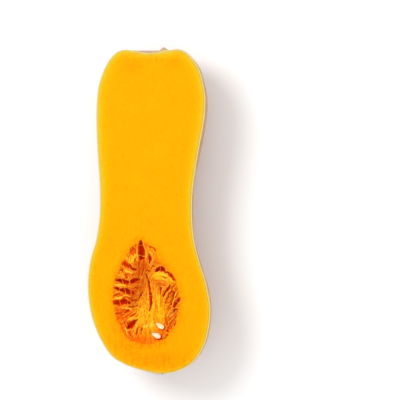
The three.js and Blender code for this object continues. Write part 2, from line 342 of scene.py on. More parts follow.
@dataclass(frozen=True)
class Placing:
    """Carries the fruit's own axes, in mm, into the frame, in metres."""

    shift: tuple[float, float, float]

    @classmethod
    def on(cls, edges: EdgePair, node: str) -> Placing:
        """Line up the outline with a CAD node's box, whose top is the cut face.

        Args:
            edges: The outline's curve.
            node: The node's name.

        Returns:
            The placing.
        """
        low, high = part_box(node)
        left, _ = edges.sides(WHOLE_EDGE)
        return cls((low[0] / MM - left[:, 0].min(), low[1] / MM, high[2] / MM))

    def metres(self, points: Rows) -> Rows:
        """Points of the fruit's own axes in the frame."""
        return (np.asarray(points, float) + np.array(self.shift)) * MM

    def mapping(self) -> tuple[float, float, float]:
        """What a Mapping node adds to object coordinates in mm to reach the fruit's own axes."""
        return tuple(-value for value in self.shift)


# ---- mesh making


def linked(name: str, data: bpy.types.ID) -> Piece:
    """A new object in the scene.

    Args:
        name: Its name.
        data: Its mesh, light or camera.

    Returns:
        The object.
    """
    piece = bpy.data.objects.new(name, data)
    bpy.context.scene.collection.objects.link(piece)
    return piece


def seal(work: bmesh.types.BMesh, data: bpy.types.Mesh, sliver: float) -> None:
    """Weld a mesh that is being worked on, point its faces out and write it back.

    Args:
        work: The mesh's working copy, which is freed.
        data: The mesh.
        sliver: Edges shorter than this, in metres, are dissolved.
    """
    bmesh.ops.remove_doubles(work, verts=work.verts, dist=WELD)
    bmesh.ops.dissolve_degenerate(work, edges=work.edges, dist=sliver)
    if work.calc_volume(signed=True) < 0:
        bmesh.ops.reverse_faces(work, faces=work.faces)
    open_edges = sum(1 for edge in work.edges if len(edge.link_faces) != 2)
    work.to_mesh(data)
    work.free()
    data.shade_smooth()
    LOG.info("%s: %d faces, %d open edges", data.name, len(data.polygons), open_edges)


class MeshDraft:
    """Vertices, faces and named vertex values gathered before they become one mesh."""

    def __init__(self) -> None:
        """Start empty."""
        self.points: list[Rows] = []
        self.faces: list[tuple[int, ...]] = []
        self.values: dict[str, list[Rows]] = {}
        self.count = 0

    def add(self, points: Rows, **values: Rows | float) -> Rows:
        """Add points with their values.

        Args:
            points: Points of any leading shape, as x, y, z.
            **values: A number for each point, or one for all, under an attribute's name.

        Returns:
            The points' indices, in the leading shape.
        """
        shape = points.shape[:-1]
        size = int(np.prod(shape))
        self.points.append(points.reshape(-1, 3))
        for name, value in values.items():
            known = self.values.setdefault(name, [np.zeros(self.count)])
            known.append(np.broadcast_to(value, shape).reshape(-1).astype(float))
        self.count += size
        for known in self.values.values():
            missing = self.count - sum(len(part) for part in known)
            if missing:
                known.append(np.zeros(missing))
        return np.arange(self.count - size, self.count).reshape(shape)

    def sheet(self, index: Rows, keep: Rows | None = None) -> None:
        """Join a grid of indices with four-cornered faces.

        Args:
            index: The grid.
            keep: Which of its points count, if not all; a face needs four of them.
        """
        corners = (np.s_[:-1, :-1], np.s_[:-1, 1:], np.s_[1:, 1:], np.s_[1:, :-1])
        faces = np.stack([index[corner] for corner in corners], -1)
        if keep is not None:
            faces = faces[np.all([keep[corner] for corner in corners], axis=0)]
        self.faces.extend(map(tuple, faces.reshape(-1, 4).tolist()))

    def mesh(self, name: str, placing: Placing) -> Piece:
        """Weld the draft into a closed mesh object at the origin, with its faces pointing out.

        Args:
            name: The object's name.
            placing: The fruit's place in the frame.

        Returns:
            The object, linked to the scene.
        """
        data = bpy.data.meshes.new(name)
        data.from_pydata(placing.metres(np.concatenate(self.points)).tolist(), [], self.faces)
        for key, parts in self.values.items():
            layer = data.attributes.new(key, "FLOAT", "POINT")
            layer.data.foreach_set("value", np.concatenate(parts).astype(np.float32))
        work = bmesh.new()
        work.from_mesh(data)
        seal(work, data, WELD / 4)
        return linked(name, data)


# ---- materials


MIX_FIRST_COLOR = 6
MIX_SECOND_COLOR = 7
MIX_COLOR_RESULT = 2


class Board:
    """A material's node tree, and short ways of adding the nodes that the finishes share."""

    def __init__(self, name: str, placing: Placing) -> None:
        """Make the material with a Principled shader.

        Args:
            name: The material's name.
            placing: The fruit's place in the frame.
        """
        self.material = bpy.data.materials.new(name)
        self.material.use_nodes = True
        self.tree = self.material.node_tree
        self.shader = self.tree.nodes["Principled BSDF"]
        own = self.node("TexCoord", "Object", {})
        moved = {"Vector": own, "Scale": (1 / MM,) * 3, "Location": placing.mapping()}
        self.fruit = self.node("Mapping", "Vector", moved)

    def put(self, socket: Socket, value: Source) -> None:
        """Set a socket to a number or colour, or link another socket to it.

        Args:
            socket: The input.
            value: What goes into it.
        """
        if isinstance(value, Socket):
            self.tree.links.new(value, socket)
        else:
            socket.default_value = value

    def node(
        self, kind: str, output: str | int, inputs: dict[str | int, Source], **settings: str
    ) -> Socket:
        """Add a node.

        Args:
            kind: Its type, without the part that all shader nodes share.
            output: The output that is wanted.
            inputs: What goes into its inputs.
            **settings: Its own settings.

        Returns:
            The output's socket.
        """
        node = self.tree.nodes.new(f"ShaderNode{kind}")
        for name, setting in settings.items():
            setattr(node, name, setting)
        for name, value in inputs.items():
            self.put(node.inputs[name], value)
        return node.outputs[output]

    def settle(self, **values: Source) -> None:
        """Fill the shader's own sockets, with _ in a name for a blank."""
        for name, value in values.items():
            self.put(self.shader.inputs[name.replace("_", " ")], value)

    def value(self, name: str) -> Socket:
        """A vertex value that the mesh carries."""
        return self.node("Attribute", "Fac", {}, attribute_name=name)

    def along(self) -> Socket:
        """How far from the blossom end a point is, in mm."""
        return self.node("SeparateXYZ", "Y", {0: self.fruit})

    def sized(self, size: float | Color) -> Socket:
        """The fruit's coordinates divided by a size in mm, one for all axes or one each."""
        scale = tuple(1 / side for side in (size if isinstance(size, tuple) else (size,) * 3))
        return self.node("VectorMath", "Vector", {0: self.fruit, 1: scale}, operation="MULTIPLY")

    def noise(
        self,
        wavelength: float | Color,
        detail: float = 3.0,
        roughness: float = 0.55,
        warp: float = 0.0,
    ) -> Socket:
        """Noise about 0.5.

        Args:
            wavelength: Its features' size in mm, one for all axes or one each.
            detail: How many finer layers it has.
            roughness: How strong each finer layer is.
            warp: How far it is distorted.

        Returns:
            The noise's socket.
        """
        inputs = {"Vector": self.sized(wavelength), "Scale": 1.0, "Detail": detail}
        inputs |= {"Roughness": roughness, "Distortion": warp}
        return self.node("TexNoise", "Fac", inputs)

    def spots(self, spacing: float | Color) -> Socket:
        """Distance to the nearest of random points, in shares of their spacing in mm."""
        return self.node("TexVoronoi", "Distance", {"Vector": self.sized(spacing), "Scale": 1.0})

    def ramp(self, amount: Source, *stops: tuple[float, Color]) -> Socket:
        """A colour ramp.

        Args:
            amount: What the colour depends on.
            *stops: Places from 0 to 1 with their colours.

        Returns:
            The colour's socket.
        """
        node = self.tree.nodes.new("ShaderNodeValToRGB")
        elements = node.color_ramp.elements
        while len(elements) < len(stops):
            elements.new(1.0)
        for element, (place, color) in zip(elements, stops):
            element.position = place
            element.color = color
        self.put(node.inputs["Fac"], amount)
        return node.outputs["Color"]

    def span(
        self, amount: Source, low: float, high: float, to_low: float = 0.0, to_high: float = 1.0
    ) -> Socket:
        """Carry a number from one range to another, eased and held at the ends.

        Args:
            amount: The number.
            low: The first range's start.
            high: Its end.
            to_low: The second range's start.
            to_high: Its end.

        Returns:
            The new number's socket.
        """
        inputs = {"Value": amount, "From Min": low, "From Max": high}
        inputs |= {"To Min": to_low, "To Max": to_high}
        return self.node("MapRange", "Result", inputs, interpolation_type="SMOOTHSTEP")

    def math(self, kind: Sum, first: Source, second: Source) -> Socket:
        """One sum of two numbers."""
        return self.node("Math", "Value", {0: first, 1: second}, operation=kind.value)

    def mix(self, share: Source, first: Source, second: Source) -> Socket:
        """Mix two colours by a share."""
        inputs = {"Factor": share, MIX_FIRST_COLOR: first, MIX_SECOND_COLOR: second}
        return self.node("Mix", MIX_COLOR_RESULT, inputs, data_type="RGBA")

    def bump(self, height: Source, depth: float) -> None:
        """Raise the surface's shading by a height from 0 to 1, depth mm deep."""
        self.settle(Normal=self.node("Bump", "Normal", {"Distance": depth * MM, "Height": height}))


@dataclass(frozen=True)
class FleshTones:
    """The cut flesh's colours, from the rind inwards and round the seed cavity."""

    cream: Color = linear(250, 227, 126, LIGHT)
    green: Color = linear(229, 207, 54, LIGHT)
    yellow: Color = ripe(253, 203, 24, LIGHT)
    gold: Color = ripe(254, 193, 3, LIGHT)
    amber: Color = ripe(254, 184, 0, LIGHT)
    deep: Color = ripe(253, 140, 0, LIGHT)
    reach: float = 14.0

    def paint(self, board: Board) -> Socket:
        """The flesh's colour, from the values rim and core that the mesh carries.

        Args:
            board: The material that the colour is for.

        Returns:
            The colour's socket. rim is the distance to the skin in mm, and core is 0 for plain
            flesh and 1 where it is deep orange.
        """
        ragged = board.math(Sum.SUBTRACT, board.noise(3.0), 0.5)
        depth = board.math(Sum.ADD, board.value("rim"), board.math(Sum.MULTIPLY, ragged, 1.6))
        depth = board.math(Sum.MULTIPLY, depth, board.span(board.along(), 70.0, 160.0, 1.0, 0.68))
        band = board.ramp(
            board.math(Sum.DIVIDE, depth, self.reach),
            (0.00, self.cream),
            (0.08, self.green),
            (0.15, self.yellow),
            (0.26, self.gold),
            (0.50, self.amber),
        )
        cloud = board.noise(22.0, 3.0)
        color = board.mix(board.span(cloud, 0.45, 0.75, 0.0, 0.45), band, self.gold)
        speck = board.span(board.spots(1.1), 0.0, 0.22, 0.2, 0.0)
        color = board.mix(speck, color, self.deep)
        for fleck in (board.noise((1.3, 5.0, 2.0), 3.0, 0.6), board.noise(2.0, 2.0, 0.6)):
            color = board.mix(board.span(fleck, 0.54, 0.75, 0.0, 0.4), color, self.gold)
            color = board.mix(board.span(fleck, 0.46, 0.25, 0.0, 0.22), color, self.deep)
        streak = board.noise((2.2, 16.0, 4.0), 4.0, 0.6)
        near = board.math(Sum.MULTIPLY, board.value("core"), board.span(streak, 0.3, 0.7, 0.3, 1.1))
        patch = board.span(board.noise(3.2, 3.0, 0.65), 0.36, 0.62, 0.5, 1.15)
        return board.mix(board.math(Sum.MULTIPLY, near, patch), color, self.deep)

    def grain(self, board: Board) -> Socket:
        """The height of the cut flesh's fine grain and faint knife marks."""
        marks = board.math(Sum.MULTIPLY, board.noise((38.0, 1.3, 3.0), 2.0), 0.6)
        return board.math(Sum.ADD, board.noise((0.55, 1.6, 0.8), 4.0, 0.7), marks)


MOIST = {
    "Roughness": 0.4,
    "Specular_IOR_Level": 0.016,
    "Subsurface_Weight": 0.2,
    "Subsurface_Radius": (1.0, 0.3, 0.05),
    "Subsurface_Scale": 1.3 * MM,
}


@dataclass(frozen=True)
class FleshFinish:
    """Moist cut flesh: fine vessels end on, faint knife marks and a soft sheen."""

    tones: FleshTones = FleshTones()

    def material(self, placing: Placing) -> Material:
        """Build the material.

        Args:
            placing: The fruit's place in the frame.

        Returns:
            The material.
        """
        board = Board("cut_flesh", placing)
        board.settle(Base_Color=self.tones.paint(board), **MOIST)
        board.bump(self.tones.grain(board), 0.16)
        return board.material


@dataclass(frozen=True)
class PulpFinish:
    """Wet stringy pulp: orange, yellow down its middle, red in the pockets running darker with
    depth as painted shade, pale strings with painted highlights on crests, painted shade in the
    valleys.
    """

    tones: FleshTones = FleshTones()
    orange: Color = linear(241, 116, 1, 1.17)
    ember: Color = linear(236, 86, 1, 1.11)
    brown: Color = linear(208, 80, 3, 1.12)
    lemon: Color = ripe(255, 192, 8, 1.22)
    pale: Color = ripe(255, 206, 50, 1.18)
    # These two colour the dips: painted shade in the valleys together with reddish-brown smears;
    # the second where the pulp is yellow.
    red_brown: Color = linear(198, 56, 0, 1.0)
    olive: Color = linear(206, 124, 2, 1.0)
    # Pocket walls, from red at the rim to near black: the darkening with depth is painted shade.
    flame: Color = (0.93, 0.15, 0.001, 1.0)
    red: Color = (0.80, 0.070, 0.0, 1.0)
    blood: Color = (0.60, 0.026, 0.0, 1.0)
    deep_pit_shade: Color = (0.16, 0.012, 0.001, 1.0)

    def material(self, placing: Placing) -> Material:
        """Build the material from the vertex values of the pulp's mesh.

        Args:
            placing: The fruit's place in the frame.

        Returns:
            The material.
        """
        board = Board("seed_pulp_wet", placing)
        color = self.tones.paint(board)
        for name, tone in (("inner", self.orange), ("blush", self.ember), ("dusk", self.brown)):
            color = board.mix(board.value(name), color, tone)
        patch = board.span(board.noise(1.9, 4.0, 0.6), 0.34, 0.6, 0.62, 1.2)
        color = board.mix(board.math(Sum.MULTIPLY, board.value("glow"), patch), color, self.lemon)
        # Painted shade in the valleys, and the scorch patches' smears.
        shade = board.mix(board.span(board.value("glow"), 0.4, 0.9), self.red_brown, self.olive)
        color = board.mix(board.math(Sum.MULTIPLY, board.value("dip"), 0.85), color, shade)
        # Pale fibres, and painted highlights on the relief's crests.
        color = board.mix(board.value("pale_string_and_highlight"), color, self.pale)
        # The pockets' red is partly their own colour and partly painted shade that deepens with
        # depth; the seeds' gaps are painted shadow.
        walls = board.ramp(
            board.value("pit"),
            (0.00, self.flame),
            (0.36, self.red),
            (0.80, self.blood),
            (1.00, self.deep_pit_shade),
        )
        color = board.mix(board.span(board.value("pit"), 0.02, 0.32), color, walls)
        fibre = board.noise((0.5, 0.9, 0.7), 4.0, 0.7)
        own = board.math(Sum.MULTIPLY, fibre, board.value("inner"))
        board.bump(board.math(Sum.ADD, own, self.tones.grain(board)), 0.18)
        board.settle(Base_Color=color, **MOIST)
        return board.material


@dataclass(frozen=True)
class StrandFinish:
    """Thin wet fibres, half see-through."""

    pale: Color = ripe(255, 196, 60, 1.25)
    amber: Color = ripe(250, 146, 10, 1.25)
    ember: Color = ripe(232, 104, 4, 1.2)

    def material(self, placing: Placing) -> Material:
        """Build the material.

        Args:
            placing: The fruit's place in the frame.

        Returns:
            The material.
        """
        board = Board("pulp_strand", placing)
        blend = board.ramp(
            board.noise((3.5, 3.5, 2.5), 3.0),
            (0.38, self.ember),
            (0.50, self.amber),
            (0.64, self.pale),
        )
        board.bump(board.noise(0.5, 3.0), 0.1)
        board.settle(
            Base_Color=blend,
            Roughness=0.32,
            Specular_IOR_Level=0.1,
            Subsurface_Weight=0.4,
            Subsurface_Radius=(1.0, 0.35, 0.06),
            Subsurface_Scale=1.2 * MM,
        )
        return board.material


@dataclass(frozen=True)
class SeedFinish:
    """A flat seed in a wet coat, darker on its margin."""

    name: str
    face: Color
    blotch: Color
    margin: Color
    gloss: float

    def material(self, placing: Placing) -> Material:
        """Build the material from the values rim, on a seed's margin, and tip, at its point.

        Args:
            placing: The fruit's place in the frame.

        Returns:
            The material.
        """
        board = Board(self.name, placing)
        share = board.span(board.noise(2.4, 3.0), 0.4, 0.72, 0.0, 0.7)
        face = board.mix(board.math(Sum.MAXIMUM, share, board.value("tip")), self.face, self.blotch)
        board.bump(board.noise(0.7, 3.0), 0.06)
        board.settle(
            Base_Color=board.mix(board.value("rim"), face, self.margin),
            Roughness=0.3,
            Specular_IOR_Level=self.gloss,
            Subsurface_Weight=0.3,
            Subsurface_Radius=(1.0, 0.6, 0.3),
            Subsurface_Scale=0.8 * MM,
        )
        return board.material


SEED_FINISHES = {
    Coat.BARE: SeedFinish(
        "seed_coat",
        linear(255, 239, 204, 1.28),
        linear(252, 212, 146, 1.2),
        linear(248, 208, 132, 1.2),
        0.3,
    ),
    Coat.STRAW: SeedFinish(
        "seed_straw",
        ripe(255, 216, 104, 1.15),
        ripe(255, 190, 60, 1.15),
        ripe(255, 216, 104, 1.15),
        0.0,
    ),
    Coat.VEILED: SeedFinish(
        "seed_veiled",
        ripe(255, 200, 34, 1.25),
        ripe(252, 166, 8, 1.25),
        ripe(236, 128, 10, 1.2),
        0.06,
    ),
}


@dataclass(frozen=True)
class SkinFinish:
    """The tan skin: mauve bloom, lengthwise streaks, rust patches near the stalk, small marks."""

    tan: Color = linear(200, 142, 104, 1.15)
    peach: Color = linear(226, 174, 132, 1.15)
    mauve: Color = linear(172, 124, 108, 1.15)
    ash: Color = linear(210, 176, 156, 1.15)
    honey: Color = linear(226, 162, 98, 1.15)
    red_brown: Color = linear(180, 112, 52, 1.15)
    ochre: Color = linear(214, 150, 76, 1.15)
    slate: Color = linear(146, 106, 92, 1.15)
    scar: Color = linear(118, 80, 54, 1.15)
    pitch: Color = linear(88, 58, 42, 1.15)
    husk: Color = linear(176, 134, 98, 1.15)
    cork: Color = linear(208, 172, 132, 1.15)
    edge: Color = linear(248, 226, 124, LIGHT)

    def material(self, placing: Placing) -> Material:
        """Build the material from the values rim, stem, cork and blossom of the mesh.

        Args:
            placing: The fruit's place in the frame.

        Returns:
            The material.
        """
        board = Board("squash_skin", placing)
        streak = board.noise((9.0, 34.0, 9.0), 6.0, 0.68, 0.12)
        honey = board.noise((13.0, 24.0, 13.0), 7.0, 0.7, 0.12)
        bloom = board.noise((17.0, 30.0, 17.0), 7.0, 0.7, 0.15)
        fine = board.noise((1.3, 11.0, 1.3), 4.0, 0.65)
        band = board.noise((4.0, 120.0, 4.0), 4.0, 0.6)
        grain = board.noise(1.5, 5.0, 0.75)
        dull = board.noise((14.0, 20.0, 14.0), 5.0, 0.7)
        mark = board.spots((6.5, 10.0, 6.5))
        color = board.mix(board.span(streak, 0.32, 0.68), self.tan, self.peach)
        for share, tone in (
            (board.span(honey, 0.52, 0.7, 0.0, 0.5), self.honey),
            (board.span(bloom, 0.44, 0.66, 0.0, 0.72), self.mauve),
            (board.span(fine, 0.52, 0.74, 0.0, 0.26), self.peach),
            (board.span(fine, 0.48, 0.28, 0.0, 0.2), self.red_brown),
            (board.span(band, 0.57, 0.76, 0.0, 0.5), self.ochre),
            (board.span(grain, 0.52, 0.68, 0.0, 0.5), self.red_brown),
            (board.span(grain, 0.48, 0.32, 0.0, 0.6), self.ash),
            (self.weather(board), self.red_brown),
            (board.span(dull, 0.58, 0.78, 0.0, 0.5), self.slate),
            (board.span(mark, 0.05, 0.2, 0.4, 0.0), self.red_brown),
            (board.span(mark, 0.035, 0.085, 0.85, 0.0), self.scar),
        ):
            color = board.mix(share, color, tone)
        crack = board.noise(1.2, 5.0, 0.7)
        corky = board.mix(board.span(crack, 0.35, 0.6), self.husk, self.cork)
        fray = board.math(Sum.ADD, board.value("cork"), board.noise(2.2, 4.0, 0.65))
        color = board.mix(board.span(fray, 0.7, 1.2), color, corky)
        button = board.ramp(
            board.value("blossom"),
            (0.0, self.tan),
            (0.35, self.husk),
            (0.62, self.scar),
            (1.0, self.pitch),
        )
        color = board.mix(board.span(board.value("blossom"), 0.04, 0.3), color, button)
        color = board.mix(board.value("rim"), color, self.edge)
        pores = board.span(board.spots(0.9), 0.0, 0.5)
        dents = board.math(Sum.MULTIPLY, board.noise((0.8, 5.0, 0.8), 4.0, 0.7), 0.8)
        board.bump(board.math(Sum.ADD, pores, dents), 0.06)
        board.settle(
            Base_Color=color,
            Roughness=board.span(bloom, 0.4, 0.7, 0.38, 0.6),
            Specular_IOR_Level=0.34,
            Subsurface_Weight=0.08,
            Subsurface_Radius=(1.0, 0.5, 0.25),
            Subsurface_Scale=1.0 * MM,
        )
        return board.material

    def weather(self, board: Board) -> Socket:
        """How far the skin is scuffed brown near the stalk, in speckled patches.

        Args:
            board: The material that it is for.

        Returns:
            The share, from 0 to 1.
        """
        cloud = board.noise((9.0, 13.0, 9.0), 7.0, 0.74, 0.15)
        speckle = board.span(board.noise((1.0, 1.6, 1.0), 3.0, 0.7), 0.35, 0.62, 0.35, 1.0)
        patch = board.span(cloud, 0.46, 0.62, 0.0, 0.95)
        mottle = board.math(Sum.MULTIPLY, patch, speckle)
        return board.math(Sum.MULTIPLY, board.value("stem"), mottle)


# ---- the squash half


@dataclass
class SquashBody:
    """Rind and flesh of the half, drawn by sections across the fruit. Sizes are in mm."""

    stations: tuple[Station, ...] = each(
        Station,
        (0, 8.6, 8.6), (1.8, -2.7, 20.4), (7.2, -19.8, 31.3), (13.4, -29.8, 37.3),
        (22.6, -36.6, 42.4), (35, -42.7, 45.8), (50.5, -47.1, 47.1), (69, -48.7, 44.1),
        (87.6, -46.7, 38.4), (103, -42.3, 34.5), (121.6, -39.6, 32.9), (143.2, -39.3, 33.6),
        (168, -40.9, 37.3), (192.7, -42, 41.8), (211.3, -41.6, 43.4), (223.6, -40, 41.7),
        (236, -35.6, 38), (243.7, -30.9, 32.5), (248.8, -25.5, 26.7), (250.4, -18.8, 20.4),
        (249, -11.6, 12.4), (247.8, 0, 0),
    )
    bulb_lean: float = 0.065
    neck_lean: float = 0.169
    lean_from_y: float = 125.0
    lean_to_y: float = 195.0
    cut_height: float = 49.2
    rib_count: int = 6
    rib_depth: float = 1.5
    rib_from_y: float = 165.0
    rib_full_y: float = 242.0
    collar_radius: float = 11.5
    collar_half_width: float = 2.2
    collar_height: float = 0.9
    nub_x: float = 9.6
    nub_z: float = -4.5
    nub_radius: float = 3.2
    nub_height: float = 2.6
    cork_edge: tuple[float, float] = (12.0, 15.5)
    stem_scuff_y: tuple[float, float] = (170.0, 226.0)
    blossom_end_y: float = 20.0
    scar_lip: float = 3.6
    scar_pit: float = 1.9
    rind_thickness: float = 0.8
    flesh_gap: float = 0.02
    skin_step: float = 0.85
    skin_columns: int = 180
    lining_columns: int = 28
    flesh_columns: int = 36
    face_step: float = 1.15

    def __post_init__(self) -> None:
        """Draw the outline and set up the noise."""
        self.edges = EdgePair(self.stations)
        self.lumps = Lattice(11)
        self.pores = Lattice(23)
        self.waves = Lattice(37)

    def cut_relief(self, x: Rows, y: Rows) -> Rows:
        """How far the cut dips below a true plane, where the knife wavered, as z in mm."""
        swell = 0.13 * self.waves.layered(x / 34.0, y / 22.0, layers=3)
        return -0.2 - swell - 0.04 * self.waves.at(x / 60.0 + 9.0, y / 3.4)

    def section(self, shares: Rows, inset: float, columns: int) -> Rows:
        """Sections of the skin below the cut face, or of a surface inside it.

        Args:
            shares: Where the sections are, between the poles.
            inset: How far inside the skin the surface lies.
            columns: Steps from the right edge, round underneath, to the left edge.

        Returns:
            A grid of points.
        """
        left, right = self.edges.sides(shares, inset)
        outer_left, outer_right = self.edges.sides(shares)
        middle = (left + right) / 2
        half = (right - left) / 2
        half_width = np.linalg.norm(half, axis=-1)
        across = half / half_width[:, None]
        outer_half = np.linalg.norm(outer_right - outer_left, axis=-1) / 2
        ease = smoothstep(middle[:, 1], self.lean_from_y, self.lean_to_y)
        lean = self.bulb_lean + (self.neck_lean - self.bulb_lean) * ease
        axis_depth = outer_half * lean
        radius = np.hypot(half_width, axis_depth)
        overlap = np.arctan2(axis_depth, half_width)
        share = np.linspace(0.0, 1.0, columns + 1)
        angle = overlap[:, None] - share * (math.pi + 2 * overlap[:, None])
        strength = self.rib_depth * smoothstep(middle[:, 1], self.rib_from_y, self.rib_full_y)
        furrow = (1 - np.cos(2 * math.pi * self.rib_count * share)) / 2
        reach = radius[:, None] - strength[:, None] * furrow * half_width[:, None] / 42
        flat = middle[:, None, :] + across[:, None, :] * (reach * np.cos(angle))[..., None]
        z = reach * np.sin(angle) - axis_depth[:, None]
        near_stem = middle[:, 1] > self.rib_full_y
        flat[..., 1] += np.where(near_stem[:, None], self.collar_rise(flat[..., 0], z), 0.0)
        points = np.concatenate([flat, z[..., None]], -1)
        points[:, [0, -1], 2] = 0.0
        return points

    def collar_rise(self, x: Rows, z: Rows) -> Rows:
        """How far the corky collar and the torn nub stand out of the stem dimple.

        Args:
            x: Across the fruit.
            z: Above the cut face.

        Returns:
            The rise, in mm.
        """
        ridge = (np.hypot(x, z) - self.collar_radius) / self.collar_half_width
        nub = np.hypot(x - self.nub_x, z - self.nub_z) / self.nub_radius
        return self.collar_height * np.exp(-(ridge**2)) + self.nub_height * np.exp(-(nub**2))

    def press(self, points: Rows, floor: float) -> Rows:
        """A surface held above the level that the table presses it to."""
        return np.concatenate([points[..., :2], np.maximum(points[..., 2:], floor)], -1)

    def weathered(self, skin: Rows) -> Rows:
        """The skin with its gentle lumps, fine lengthwise ridges and the stem end's cork.

        Args:
            skin: A grid of points.

        Returns:
            The grid, moved along its normals.
        """
        along = np.gradient(skin, axis=0)
        round_it = np.gradient(skin, axis=1)
        normal = np.cross(round_it, along)
        normal /= np.linalg.norm(normal, axis=-1, keepdims=True)
        x, y, z = np.moveaxis(skin, -1, 0)
        lump = 0.28 * self.lumps.layered(x / 24, y / 40, z / 24, 3)
        ridge = 0.05 * self.pores.layered(x / 1.6, y / 14, z / 1.6, 2)
        cork = self.cork(x, y, z)
        crust = cork * (0.34 * self.pores.layered(x / 1.4, y / 1.4, z / 1.4, 3) - 0.1)
        height = lump + ridge + crust + self.button(x, y, z)
        edge = np.minimum(np.arange(skin.shape[1]), np.arange(skin.shape[1])[::-1])
        height *= smoothstep(edge, 0, 6)[None, :]
        return skin + normal * height[..., None]

    def from_blossom(self, x: Rows, z: Rows) -> Rows:
        """Distance from the middle of the blossom scar, on an uneven scale, in mm."""
        return np.hypot(x - self.stations[0].left, z) + 0.8 * self.lumps.at(x / 1.3, z / 1.3, 7.7)

    def button(self, x: Rows, y: Rows, z: Rows) -> Rows:
        """The blossom scar's shallow pit and the lip round it, as a height in mm.

        Args:
            x: Across the fruit.
            y: Along the fruit.
            z: Above the cut face.

        Returns:
            The heights.
        """
        reach = self.from_blossom(x, z)
        lip = 0.35 * np.exp(-((reach - self.scar_lip) ** 2))
        pit = 0.8 * np.exp(-((reach / self.scar_pit) ** 2))
        return np.where(y < self.blossom_end_y, lip - pit, 0.0)

    def cork(self, x: Rows, y: Rows, z: Rows) -> Rows:
        """1 on the corky stem scar and 0 off it."""
        reach = np.hypot(x, z) + 1.4 * self.lumps.at(x / 3.0, z / 3.0, 4.2)
        return np.where(y > self.rib_full_y, 1 - smoothstep(reach, *self.cork_edge), 0.0)

    def build_rind(self, placing: Placing) -> Piece:
        """The rind as a closed shell about a millimetre thick.

        Args:
            placing: The fruit's place in the frame.

        Returns:
            The rind.
        """
        inner = self.even_loop(self.rind_thickness, self.lining_columns)
        outer = self.even_loop(0.0, self.skin_columns)
        outer[1:-1] = self.weathered(outer)[1:-1]
        outer = self.press(outer, -self.cut_height)
        inner = self.press(inner, -self.cut_height + self.rind_thickness)
        draft = MeshDraft()
        x, y, z = np.moveaxis(outer, -1, 0)
        stem = smoothstep(y, *self.stem_scuff_y)
        scarred = 1 - smoothstep(self.from_blossom(x, z), 0.6, 4.6)
        blossom = np.where(y < self.blossom_end_y, scarred, 0.0)
        rim = np.zeros_like(x)
        rim[:, [0, -1]] = 0.5
        skin = draft.add(outer, stem=stem, cork=self.cork(x, y, z), blossom=blossom, rim=rim)
        lining = draft.add(inner, rim=1.0)
        draft.sheet(skin)
        draft.sheet(lining[:, ::-1])
        for outer_column, inner_column in ((self.skin_columns, -1), (0, 0)):
            start, end = outer[:, outer_column], inner[:, inner_column]
            start_index, end_index = skin[:, outer_column], lining[:, inner_column]
            loops = [start_index]
            for share, rim in ((0.2, 0.7), (0.4, 1.0), (0.7, 1.0)):
                band = start + (end - start) * share
                band[:, 2] = self.cut_relief(band[:, 0], band[:, 1])
                loops.append(draft.add(band, rim=rim))
            loops.append(end_index)
            strip = np.stack(loops, 1)
            draft.sheet(strip if outer_column else strip[:, ::-1])
        return draft.mesh("rind", placing)

    def even_loop(self, inset: float, columns: int) -> Rows:
        """Sections at even steps, with both poles as rows of one point each.

        Args:
            inset: How far inside the skin, in mm.
            columns: Steps round each section.

        Returns:
            A grid of points.
        """
        shares = self.edges.even_shares(self.skin_step)
        grid = self.section(shares, inset, columns)
        poles = []
        for share in (0.0, 1.0):
            left, _ = self.edges.sides(np.array([share]), inset)
            poles.append(np.broadcast_to([left[0, 0], left[0, 1], 0.0], (1, columns + 1, 3)))
        loop = np.concatenate([poles[0], grid, poles[1]])
        for column in (0, -1):
            edge = loop[:, column]
            drop = self.cut_relief(edge[:, 0], edge[:, 1])
            loop[:, column, 2] = drop if inset else 0.35 * drop
        return loop

    def build_flesh(self, placing: Placing, cavity: SeedCavity) -> Piece:
        """The flesh as a closed solid with the seed cavity in its cut face.

        Args:
            placing: The fruit's place in the frame.
            cavity: The hollow in it.

        Returns:
            The flesh.
        """
        draft = MeshDraft()
        inset = self.rind_thickness + self.flesh_gap
        under = self.even_loop(inset, self.flesh_columns)
        under = self.press(under, -self.cut_height + inset)
        rim_line = self.edges.outline(FINE_LINE)
        hole = cavity.edges.outline(ROUGH_LINE)
        border = np.concatenate([under[:, 0], under[-2:0:-1, -1]])
        face_points = [border[:, :2], hole, self.face_fill(border[:, :2], hole)]
        flat = np.concatenate(face_points)
        chains = []
        start = 0
        for part in face_points[:2]:
            count = len(part)
            chains += [(start + i, start + (i + 1) % count) for i in range(count)]
            start += count
        made = delaunay_2d_cdt([Vector(p) for p in flat], chains, [], 0, 1e-5)
        spots = np.array([tuple(v) for v in made[0]])
        triangles = np.array(made[2])
        middle = spots[triangles].mean(1)
        keep = inside(border[:, :2], middle[:, 0], middle[:, 1])
        keep &= ~inside(hole, middle[:, 0], middle[:, 1])
        z = self.cut_relief(spots[:, 0], spots[:, 1])
        rim = distance_to(rim_line, spots[:, 0], spots[:, 1])
        core = cavity.nearness(spots[:, 0], spots[:, 1])
        face = draft.add(np.column_stack([spots, z]), rim=rim, core=core)
        draft.faces.extend(map(tuple, face[triangles[keep]].tolist()))
        shell = draft.add(under, rim=0.5)
        draft.sheet(shell)
        bowl = cavity.bowl(hole, self.cut_relief)
        draft.sheet(draft.add(bowl, rim=20.0, core=1.0))
        return draft.mesh("flesh", placing)

